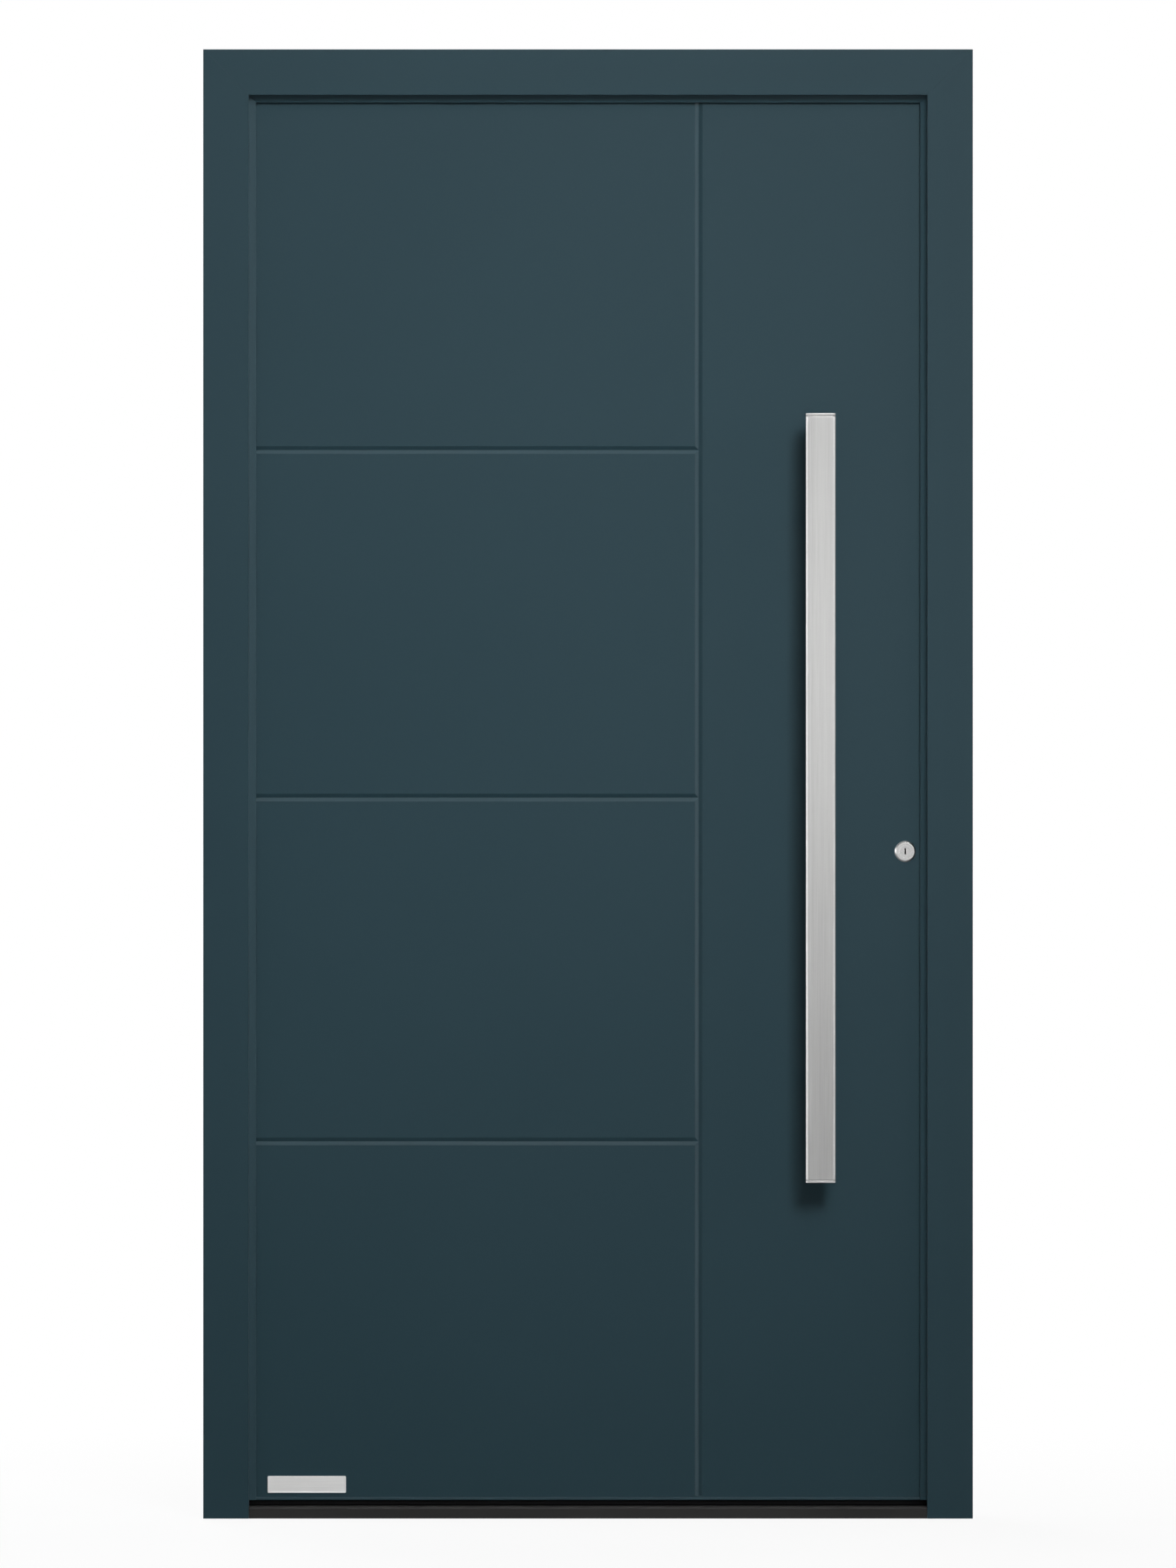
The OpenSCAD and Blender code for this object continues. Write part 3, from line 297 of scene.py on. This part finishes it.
# Coated and plain finishes with grain, edge wear and dust; each look overrides the common values
commonLook = {
    "metal": 0.0,
    "cloud": 6.0,
    "wearRadius": 0.0008,
    "breakup": 70.0,
    "edgeShare": 0.5,
    "edgeRadius": 0.0004,
    "patch": 45.0,
    "dustColour": (0.16, 0.155, 0.145),
    "dustRough": 0.95,
    "dullGain": 3.0,  # how soon dust dulls a face that looks up
}
plainLooks = {
    "anthraciteCoat": {  # powder coating on the frame and both sheets of the leaf
        "shine": 0.18,
        "dark": (0.0153, 0.0456, 0.0600),
        "light": (0.0188, 0.0526, 0.0688),
        "edge": (0.036, 0.068, 0.083),
        "rough": (0.44, 0.52),
        "grain": 850.0,
        "cloud": 2.2,
        "bump": (0.12, 0.00012),
        "wearRadius": 0.0012,
        "breakup": 45.0,
        "edgeRadius": 0.0007,
        "patch": 38.0,
        "dust": 0.25,
        "dustColour": (0.10, 0.11, 0.11),
        "dullGain": 4.0,
    },
    # Black rubber, its tone pushed close to zero as a painted shade, so the gap under the leaf reads dark
    "sealRubber": {
        "shine": 0.06,
        "dark": (0.0022, 0.0022, 0.0026),
        "light": (0.0042, 0.0042, 0.0048),
        "edge": (0.010, 0.010, 0.011),
        "rough": (0.62, 0.78),
        "grain": 1400.0,
        "bump": (0.25, 0.0001),
        "dust": 0.25,
    },
    "edgePlastic": {
        "shine": 0.4,
        "dark": (0.010, 0.010, 0.011),
        "light": (0.016, 0.016, 0.018),
        "edge": (0.03, 0.03, 0.033),
        "rough": (0.48, 0.62),
        "grain": 700.0,
        "bump": (0.2, 0.00012),
        "dust": 0.3,
    },
    "sillAnodised": {
        "shine": 0.22,
        "dark": (0.0152, 0.0148, 0.0148),
        "light": (0.0212, 0.0208, 0.0204),
        "edge": (0.05, 0.05, 0.05),
        "rough": (0.36, 0.5),
        "grain": 1100.0,
        "bump": (0.12, 0.00008),
        "dust": 0.2,
    },
    "zincPlate": {
        "metal": 1.0,
        "shine": 0.5,
        "dark": (0.36, 0.37, 0.38),
        "light": (0.50, 0.51, 0.51),
        "edge": (0.66, 0.66, 0.66),
        "rough": (0.34, 0.55),
        "grain": 260.0,
        "bump": (0.15, 0.0001),
        "dust": 0.1,
    },
    "cylinderBrass": {
        "metal": 1.0,
        "shine": 0.5,
        "dark": (0.46, 0.36, 0.16),
        "light": (0.58, 0.46, 0.22),
        "edge": (0.75, 0.64, 0.36),
        "rough": (0.24, 0.4),
        "grain": 900.0,
        "bump": (0.08, 0.00005),
        "dust": 0.05,
    },
    "coreFoam": {
        "shine": 0.2,
        "dark": (0.50, 0.41, 0.22),
        "light": (0.66, 0.56, 0.33),
        "edge": (0.72, 0.64, 0.42),
        "rough": (0.85, 0.95),
        "grain": 420.0,
        "bump": (0.7, 0.0005),
        "dust": 0.0,
    },
}


def makePlain(name):
    look = {**commonLook, **plainLooks[name]}
    finish, tree, shader, coords, relief = startFinish(name, look)
    grain = placeGroup(tree, powderGrain, coords, Grain=look["grain"], Cloud=look["cloud"])
    wear = placeGroup(tree, edgeWear, coords, Radius=look["wearRadius"], Breakup=look["breakup"])
    dust = placeGroup(tree, dustFilm, coords, Patch=look["patch"])
    tone = mixColour(tree, grain.outputs["Tone"], look["dark"], look["light"])
    worn = mathNode(tree, "MULTIPLY", wear.outputs["Mask"], look["edgeShare"])
    edged = mixColour(tree, worn, tone, look["edge"])
    filmed = mathNode(tree, "MULTIPLY", dust.outputs["Mask"], look["dust"])
    join(tree, mixColour(tree, filmed, edged, look["dustColour"]), shader.inputs["Base Color"])
    smooth = rangeNode(tree, grain.outputs["Rough"], 0.0, 1.0, *look["rough"])
    dull = min(1.0, look["dullGain"] * look["dust"])
    dulled = mathNode(tree, "MULTIPLY", dust.outputs["Upward"], dull)
    join(tree, mixValue(tree, dulled, smooth, look["dustRough"]), shader.inputs["Roughness"])
    join(tree, grain.outputs["Height"], relief.inputs["Height"])
    return finish


# Stainless steel, brushed or turned
steelLook = {
    "metal": 1.0,
    "shine": 0.5,
    "dark": (0.328, 0.328, 0.325),
    "light": (0.426, 0.426, 0.422),
    "edge": (0.74, 0.74, 0.74),
    "edgeShare": 0.6,
    "rough": (0.30, 0.46),
    "bump": (0.10, 0.00006),
    "wearRadius": 0.0008,
    "breakup": 90.0,
}
# Stroke of the brushing along each axis, how far the edges look rounded, and how pale the steel is
strokes = {
    "brushedUpright": ((1100.0, 1100.0, 9.0), 0.0016, 0.88),
    "brushedAcross": ((9.0, 1100.0, 1100.0), 0.0005, 1.0),
    "brushedPlate": ((9.0, 1100.0, 1100.0), 0.0004, 1.72),
    "satinSteel": ((420.0, 420.0, 160.0), 0.0005, 1.0),
}
# Steel turned on a lathe: rings about the axis of each rose
turnedLook = {
    "rings": 2600.0,
    "ringDetail": 3.0,
    "ringBand": (0.3, 0.7),
    "rough": (0.24, 0.38),
    "bump": (0.12, 0.00005),
    "edgeRadius": 0.0004,
    "middles": {"turnedRose": (0.454, 0.9535), "turnedLeverRose": (0.454, 1.0455)},  # X and Z
}


# Colour of the steel from its tone, paler along worn edges
def colourSteel(tree, shader, coords, tone, pale=1.0):
    dark, light = (tuple(pale * part for part in steelLook[key]) for key in ("dark", "light"))
    wear = placeGroup(tree, edgeWear, coords, Radius=steelLook["wearRadius"], Breakup=steelLook["breakup"])
    worn = mathNode(tree, "MULTIPLY", wear.outputs["Mask"], steelLook["edgeShare"])
    plain = mixColour(tree, tone, dark, light)
    join(tree, mixColour(tree, worn, plain, steelLook["edge"]), shader.inputs["Base Color"])


def makeSteel(name):
    stroke, edgeRadius, pale = strokes[name]
    finish, tree, shader, coords, relief = startFinish(name, {**steelLook, "edgeRadius": edgeRadius})
    brush = placeGroup(tree, brushGrain, coords, Stroke=stroke)
    colourSteel(tree, shader, coords, brush.outputs["Tone"], pale)
    rough = rangeNode(tree, brush.outputs["Rough"], 0.0, 1.0, *steelLook["rough"])
    join(tree, rough, shader.inputs["Roughness"])
    join(tree, brush.outputs["Height"], relief.inputs["Height"])
    return finish


def makeTurnedSteel(name):
    look = {**steelLook, **turnedLook}
    finish, tree, shader, coords, relief = startFinish(name, look)
    middleX, middleZ = look["middles"][name]
    shift = addNode(tree, "ShaderNodeMapping")
    setInput(shift, "Location", (-middleX, 0.0, -middleZ))
    setInput(shift, "Scale", (1.0, 0.0, 1.0))
    join(tree, coords, shift.inputs["Vector"])
    far = addNode(tree, "ShaderNodeVectorMath", operation="LENGTH")
    join(tree, shift.outputs["Vector"], far.inputs[0])
    ring = addNode(tree, "ShaderNodeTexNoise", noise_dimensions="1D")
    join(tree, far.outputs["Value"], ring.inputs["W"])
    setInput(ring, "Scale", look["rings"])
    setInput(ring, "Detail", look["ringDetail"])
    colourSteel(tree, shader, coords, rangeNode(tree, ring.outputs["Fac"], *look["ringBand"]))
    rough = rangeNode(tree, ring.outputs["Fac"], *look["ringBand"], *look["rough"])
    join(tree, rough, shader.inputs["Roughness"])
    join(tree, ring.outputs["Fac"], relief.inputs["Height"])
    return finish


finishes = {}
for maker, names in ((makePlain, plainLooks), (makeSteel, strokes), (makeTurnedSteel, turnedLook["middles"])):
    for name in names:
        finishes[name] = maker(name)
print("finishes made:", len(finishes))

# Which finish each solid takes: by its slot in the record, or by its own name
slotFinish = {
    "paint": "anthraciteCoat",
    "stainless": "satinSteel",
    "zinc": "zincPlate",
    "dark_aluminium": "sillAnodised",
    "rubber": "sealRubber",
    "plastic": "edgePlastic",
    "foam": "coreFoam",
    "brass": "cylinderBrass",
}
ownFinish = {
    "bar_tube": "brushedUpright",
    "bar_caps": "brushedUpright",
    "lock_faceplate": "brushedUpright",
    "main_strike": "brushedUpright",
    "upper_strike": "brushedUpright",
    "lower_strike": "brushedUpright",
    "nameplate": "brushedPlate",
    "lever": "brushedAcross",
    "outer_rose": "turnedRose",
    "keyway_disc": "turnedRose",
    "outer_plug": "edgePlastic",  # painted shade: the plug seen through the keyway takes a dark finish in place of its brass, standing in for the shade inside the keyway
    "cylinder_rose": "turnedRose",
    "lever_rose": "turnedLeverRose",
}
for part in frame["record"]["subparts"]:
    chosen = ownFinish.get(part["node"], slotFinish[part["material_slot"]])
    solid = nodes[part["node"]]
    solid.data.materials.clear()
    solid.data.materials.append(finishes[chosen])
print("finishes given to the solids")


# A finished piece: its mesh, its finishes, the body that it rides on and its slot
def addPiece(name, bm, finishNames, body):
    mesh = bpy.data.meshes.new(name)
    bm.to_mesh(mesh)
    bm.free()
    for finish in finishNames:
        mesh.materials.append(finishes[finish])
    piece = bpy.data.objects.new(name, mesh)
    scene.collection.objects.link(piece)
    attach(piece, body)


def pickVerts(made):
    return [part for part in made["geom"] if isinstance(part, bmesh.types.BMVert)]


def pickEdges(made):
    return [part for part in made["geom"] if isinstance(part, bmesh.types.BMEdge)]


# Edges that turn sharply, by the angle between their faces
def sharpEdges(bm, turn=1.0):
    return [edge for edge in bm.edges if edge.is_manifold and edge.calc_face_angle(0) > turn]


def roundEdges(bm, edges, offset):
    bmesh.ops.bevel(bm, geom=edges, offset=offset, affect="EDGES", segments=2, profile=0.5, material=-1)


# Screws with a six-sided socket; lengths are shares of the head's radius
screwShape = {
    "sides": 28,
    "socketSides": 6,
    "socket": 0.50,
    "socketDepth": 0.14,
    "proud": 0.16,
    "skirt": 0.22,
    "rim": 0.05,
    "turn": 0.7,  # each screw stops at another angle
}


def circleEdges(bm, sides, radius, place):
    made = bmesh.ops.create_circle(bm, segments=sides, radius=radius, matrix=place)
    return list(dict.fromkeys(edge for vert in made["verts"] for edge in vert.link_edges))


# A screw of radius 1 that looks up, with its seat at height 0
def makeScrew():
    shape = screwShape
    bm = bmesh.new()
    top = Matrix.Translation((0, 0, shape["proud"]))
    rim = circleEdges(bm, shape["sides"], 1.0, top)
    socket = circleEdges(bm, shape["socketSides"], shape["socket"], top)
    bmesh.ops.bridge_loops(bm, edges=rim + socket)
    down = bmesh.ops.extrude_edge_only(bm, edges=socket)
    bmesh.ops.translate(bm, vec=(0, 0, -shape["socketDepth"]), verts=pickVerts(down))
    pit = bmesh.ops.contextual_create(bm, geom=pickEdges(down))
    for face in pit["faces"]:
        face.material_index = 1  # painted shade: the socket's floor takes the dark second finish, standing in for the shade deep in the socket
    skirt = bmesh.ops.extrude_edge_only(bm, edges=rim)
    bmesh.ops.translate(bm, vec=(0, 0, -shape["skirt"]), verts=pickVerts(skirt))
    roundEdges(bm, rim, shape["rim"])
    bmesh.ops.recalc_face_normals(bm, faces=bm.faces)
    mesh = bpy.data.meshes.new("screwShape")
    bm.to_mesh(mesh)
    bm.free()
    return mesh


screwMesh = makeScrew()


# Many screws as one piece; each spot is (place, outward, radius)
def setScrews(name, body, spots, finish="satinSteel"):
    bm = bmesh.new()
    for place, outward, radius in spots:
        before = len(bm.verts)
        bm.from_mesh(screwMesh)
        bm.verts.ensure_lookup_table()
        spin = Matrix.Rotation(screwShape["turn"] * before, 4, "Z")
        aim = Vector(outward).to_track_quat("Z", "Y").to_matrix().to_4x4()
        seat = Matrix.Translation(place) @ aim @ spin @ Matrix.Scale(radius, 4)
        bmesh.ops.transform(bm, matrix=seat, verts=bm.verts[before:])
    # The second finish is the dark one on the sockets' floors, a painted shade
    addPiece(name, bm, (finish, "edgePlastic"), body)


# Four screws in each hinge wing, staggered
hingeScrews = {
    "wingWidth": 0.030,
    "wingThick": 0.005,
    "rows": (-0.052, -0.019, 0.019, 0.052),
    "stagger": 0.006,
    "radius": 0.0042,
}


def hingeSpots(side):
    spots = []
    for level in ("bottom", "middle", "top"):
        low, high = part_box(f"hinge_{level}_{side}_wing")
        halfWing = hingeScrews["wingWidth"] / 2
        middle = low.x + halfWing if side == "frame" else high.x - halfWing
        face = low.y + hingeScrews["wingThick"]
        for count, rise in enumerate(hingeScrews["rows"]):
            shift = hingeScrews["stagger"] * (1 if count % 2 else -1)
            place = (middle + shift, face, (low.z + high.z) / 2 + rise)
            spots.append((place, (0, 1, 0), hingeScrews["radius"]))
    return spots


setScrews("hingeFrameScrews", "frame", hingeSpots("frame"))
setScrews("hingeLeafScrews", "leaf", hingeSpots("leaf"))

# Screws along the lock's faceplate and in the plates of both jambs
plateScrews = {
    "radius": 0.0034,
    "inset": 0.009,  # from the ends of a plate
    "faceHeights": (0.222, 0.42, 0.62, 0.84, 1.15, 1.35, 1.50, 1.64, 1.828),
    "keepHeight": 0.060,
}


def plateSpots():
    low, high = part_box("lock_faceplate")
    middle = (low.y + high.y) / 2
    return [((high.x, middle, height), (1, 0, 0), plateScrews["radius"]) for height in plateScrews["faceHeights"]]


def strikeSpots():
    spots = []
    inset, radius = plateScrews["inset"], plateScrews["radius"]
    for name in ("main_strike", "upper_strike", "lower_strike"):
        low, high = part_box(name)
        for height in (low.z + inset, high.z - inset):
            spots.append(((low.x, (low.y + high.y) / 2, height), (-1, 0, 0), radius))
    low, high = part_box("dog_keeps")
    keep = plateScrews["keepHeight"]
    for foot in (low.z, high.z - keep):
        for height in (foot + inset, foot + keep - inset):
            spots.append(((high.x, (low.y + high.y) / 2, height), (1, 0, 0), radius))
    return spots


setScrews("faceplateScrews", "leaf", plateSpots())
setScrews("strikeScrews", "frame", strikeSpots())

# Grub screws under the handle's posts and the lever's neck
grubScrews = {
    "radius": 0.0024,
    "postBack": 0.026,
    "postReach": 0.011,  # radius of a post
    "postInset": 0.016,
    "leverOut": 0.011,
    "neckReach": 0.0095,
}


def postGrubSpots():
    low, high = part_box("bar_posts")
    middle = (low.x + high.x) / 2
    depth = high.y - grubScrews["postBack"]
    posts = (low.z + grubScrews["postInset"], high.z - grubScrews["postInset"])
    places = [(middle, depth, height - grubScrews["postReach"]) for height in posts]
    return [(place, (0, 0, -1), grubScrews["radius"]) for place in places]


def leverGrubSpots():
    low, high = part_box("lever_rose")
    depth = high.y + grubScrews["leverOut"]
    place = ((low.x + high.x) / 2, depth, (low.z + high.z) / 2 - grubScrews["neckReach"])
    return [(place, (0, 0, -1), grubScrews["radius"])]


setScrews("postGrubScrews", "leaf", postGrubSpots(), "zincPlate")
setScrews("leverGrubScrew", "lever_set", leverGrubSpots(), "zincPlate")
print("screws set")

# Moulded lids that close the ends of the leaf's two upright edge profiles
endLids = {
    "thick": 0.002,
    "gap": 0.0003,
    "rim": 0.005,
    "dish": 0.0006,
    "edge": 0.0004,
    "plugWall": 0.006,
    "plugDeep": 0.012,
}


# One lid with its plug below, from its low corner to its high corner
def addLid(bm, low, high):
    placed = Matrix.Translation((low + high) / 2) @ Matrix.Diagonal((*(high - low), 1.0))
    made = bmesh.ops.create_cube(bm, size=1.0, matrix=placed)
    faces = {face for vert in made["verts"] for face in vert.link_faces}
    upper = max(faces, key=lambda face: face.calc_center_median().z)
    lower = min(faces, key=lambda face: face.calc_center_median().z)
    bmesh.ops.inset_individual(bm, faces=[upper], thickness=endLids["rim"], depth=-endLids["dish"])
    bmesh.ops.inset_individual(bm, faces=[lower], thickness=endLids["plugWall"])
    plug = bmesh.ops.extrude_discrete_faces(bm, faces=[lower])["faces"]
    tip = list({vert for face in plug for vert in face.verts})
    bmesh.ops.translate(bm, vec=(0, 0, -endLids["plugDeep"]), verts=tip)


def makeEndLids():
    bm = bmesh.new()
    gap = endLids["gap"]
    bandLow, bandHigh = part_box("outer_skin")[1].y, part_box("inner_skin")[0].y
    for name in ("hinge_stile", "lock_stile"):
        low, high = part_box(name)
        for turned in (False, True):
            top = -low.z if turned else high.z
            first = Vector((low.x + gap, bandLow + gap, top))
            last = Vector((high.x - gap, bandHigh - gap, top + endLids["thick"] - gap / 3))
            before = len(bm.verts)
            addLid(bm, first, last)
            bm.verts.ensure_lookup_table()
            if turned:  # a lid for the foot is made above the floor and mirrored in it
                bmesh.ops.scale(bm, vec=(1, 1, -1), verts=bm.verts[before:])
    bmesh.ops.recalc_face_normals(bm, faces=bm.faces)
    roundEdges(bm, sharpEdges(bm), endLids["edge"])
    addPiece("stileEndLids", bm, ("edgePlastic",), "leaf")


makeEndLids()
print("end lids fitted")

# Raised rim round the small plate at the foot of the leaf
plateRim = {
    "wide": 0.0018,
    "proud": 0.0006,
    "edge": 0.0003,
    "inset": 0.0002,
    "corner": 0.0012,
    "cornerSteps": 4,
}


def makePlateRim():
    low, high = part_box("nameplate")
    bm = bmesh.new()
    bmesh.ops.create_grid(bm, x_segments=1, y_segments=1, size=0.5)
    size = high - low - Vector((2 * plateRim["inset"], 0, 2 * plateRim["inset"]))
    middle = Vector(((low.x + high.x) / 2, low.y, (low.z + high.z) / 2))
    upright = Matrix.Rotation(math.pi / 2, 4, "X")
    placed = Matrix.Translation(middle) @ upright @ Matrix.Diagonal((size.x, size.z, 1.0, 1.0))
    bmesh.ops.transform(bm, matrix=placed, verts=bm.verts)
    bmesh.ops.bevel(
        bm, geom=bm.verts, offset=plateRim["corner"], affect="VERTICES",
        segments=plateRim["cornerSteps"], profile=0.5, material=-1,
    )
    field = list(bm.faces)
    border = bmesh.ops.inset_region(
        bm, faces=field, thickness=plateRim["wide"], use_boundary=True, use_even_offset=True,
    )["faces"]
    bmesh.ops.delete(bm, geom=field, context="FACES")
    upper = pickVerts(bmesh.ops.extrude_face_region(bm, geom=border))
    bmesh.ops.translate(bm, vec=(0, -plateRim["proud"], 0), verts=upper)
    bmesh.ops.recalc_face_normals(bm, faces=bm.faces)
    brim = [edge for edge in sharpEdges(bm) if all(vert in upper for vert in edge.verts)]
    roundEdges(bm, brim, plateRim["edge"])
    addPiece("plateRim", bm, ("brushedPlate",), "leaf")


makePlateRim()
print("plate rim fitted")

# Studio: white to the camera, soft key from the upper right, quiet fill
studio = {
    "fill": 0.05,  # what the room adds to matt faces
    "front": 0.10,  # the wall behind the camera is dim in reflections, and the rest is white
    "behindFade": (-0.5, -0.05),
    "besideFade": (0.3, 0.6),
    "aboveFade": (0.4, 0.7),
    "floorShade": 0.08,
    "floorReach": (0.7, 2.0),  # the floor's shading fades to white over this distance
    "floorPaper": (0.9, 0.9, 0.9),
    "floorBounce": (0.10, 0.10, 0.10),
    "floorHalf": 40.0,
    "floorDrop": 0.0005,
}
# Each lamp: place, aim, width and height, spread in degrees, power,
# and whether it lights matt faces and shines on glossy ones
lamps = {
    "keyLamp": ((1.50, -6.0, 4.95), (-0.10, 0.0, 1.77), (2.4, 3.6), 36.0, 27.0, True, True),
    "sideLamp": ((7.5, -2.3, 3.2), (0.0, 0.0, 1.75), (4.0, 3.0), 52.0, 8.0, True, True),
    "leftLamp": ((-5.0, -5.0, 2.6), (0.0, 0.0, 1.5), (3.0, 3.0), 180.0, 16.0, True, True),
    "barReflector": ((0.33, -2.1, 1.2), (0.33, 0.0, 1.17), (0.6, 0.5), 180.0, 2.4, False, True),
    "barEdgeReflector": ((-6.0, -0.75, 1.2), (0.31, -0.09, 1.1), (1.6, 4.0), 180.0, 150.0, False, True),
    "grooveReflector": ((6.0, -3.9, 1.5), (0.0, 0.0, 1.1), (2.0, 3.0), 180.0, 200.0, False, True),
    "grooveSky": ((0.0, -2.9, 5.5), (0.0, 0.0, 1.1), (3.0, 1.6), 180.0, 90.0, False, True),
    "insideKey": ((-1.9, 5.0, 3.8), (0.0, 0.0, 1.05), (1.8, 1.8), 180.0, 190.0, True, False),
    "insideFill": ((2.8, 4.2, 1.6), (0.0, 0.0, 1.0), (1.6, 1.6), 180.0, 80.0, True, True),
    "openLeafLamp": ((-5.2, 1.4, 2.8), (-0.6, 0.6, 1.1), (2.0, 2.0), 180.0, 110.0, True, False),
}


def mirroredRay(tree, path):
    return mathNode(tree, "MAXIMUM", path.outputs["Is Glossy Ray"], path.outputs["Is Transmission Ray"])


def makeWorld():
    world = bpy.data.worlds.new("studioWhite")
    scene.world = world
    world.use_nodes = True
    tree = world.node_tree
    back = tree.nodes["Background"]
    setInput(back, "Color", (1.0, 1.0, 1.0, 1.0))
    path = addNode(tree, "ShaderNodeLightPath")
    way = addNode(tree, "ShaderNodeTexCoord")
    parts = addNode(tree, "ShaderNodeSeparateXYZ")
    join(tree, way.outputs["Generated"], parts.inputs[0])
    sideways = mathNode(tree, "ABSOLUTE", parts.outputs["X"])
    behind = rangeNode(tree, parts.outputs["Y"], *studio["behindFade"], studio["front"])
    beside = rangeNode(tree, sideways, *studio["besideFade"], studio["front"])
    above = rangeNode(tree, parts.outputs["Z"], *studio["aboveFade"], studio["front"])
    walls = mathNode(tree, "MAXIMUM", behind, mathNode(tree, "MAXIMUM", beside, above))
    lit = mixValue(tree, mirroredRay(tree, path), studio["fill"], walls)
    join(tree, mixValue(tree, path.outputs["Is Camera Ray"], lit, 1.0), back.inputs["Strength"])


def makeFloor():
    bm = bmesh.new()
    bmesh.ops.create_grid(bm, x_segments=1, y_segments=1, size=studio["floorHalf"])
    mesh = bpy.data.meshes.new("studioFloor")
    bm.to_mesh(mesh)
    bm.free()
    ground = bpy.data.objects.new("studioFloor", mesh)
    ground.location = (0, 0, -studio["floorDrop"])
    scene.collection.objects.link(ground)
    paper = bpy.data.materials.new("floorPaper")
    paper.use_nodes = True
    tree = paper.node_tree
    tree.nodes.remove(tree.nodes["Principled BSDF"])
    path = addNode(tree, "ShaderNodeLightPath")
    glow = addNode(tree, "ShaderNodeEmission")
    pale = addNode(tree, "ShaderNodeBsdfDiffuse")
    setInput(pale, "Color", (*studio["floorPaper"], 1.0))
    quiet = addNode(tree, "ShaderNodeBsdfDiffuse")
    setInput(quiet, "Color", (*studio["floorBounce"], 1.0))
    spot = addNode(tree, "ShaderNodeNewGeometry")
    away = addNode(tree, "ShaderNodeVectorMath", operation="LENGTH")
    join(tree, spot.outputs["Position"], away.inputs[0])
    shade = rangeNode(tree, away.outputs["Value"], *studio["floorReach"], studio["floorShade"], 0.0)
    shown = addNode(tree, "ShaderNodeMixShader")
    join(tree, shade, shown.inputs[0])
    join(tree, glow.outputs[0], shown.inputs[1])
    join(tree, pale.outputs[0], shown.inputs[2])
    direct = mathNode(tree, "MAXIMUM", path.outputs["Is Camera Ray"], mirroredRay(tree, path))
    choose = addNode(tree, "ShaderNodeMixShader")
    join(tree, direct, choose.inputs[0])
    join(tree, quiet.outputs[0], choose.inputs[1])
    join(tree, shown.outputs[0], choose.inputs[2])
    join(tree, choose.outputs[0], tree.nodes["Material Output"].inputs["Surface"])
    mesh.materials.append(paper)


def hangLamp(name, place, aim, size, spread, power, onMatt, onGloss):
    lamp = bpy.data.lights.new(name, "AREA")
    lamp.shape = "RECTANGLE"
    lamp.size, lamp.size_y = size
    lamp.spread = math.radians(spread)
    lamp.energy = power
    held = bpy.data.objects.new(name, lamp)
    held.location = place
    held.rotation_euler = (Vector(aim) - Vector(place)).to_track_quat("-Z", "Y").to_euler()
    held.visible_camera = False
    held.visible_diffuse = onMatt
    held.visible_glossy = onGloss
    scene.collection.objects.link(held)


makeWorld()
makeFloor()
for name, settings in lamps.items():
    hangLamp(name, *settings)
print("studio lit")
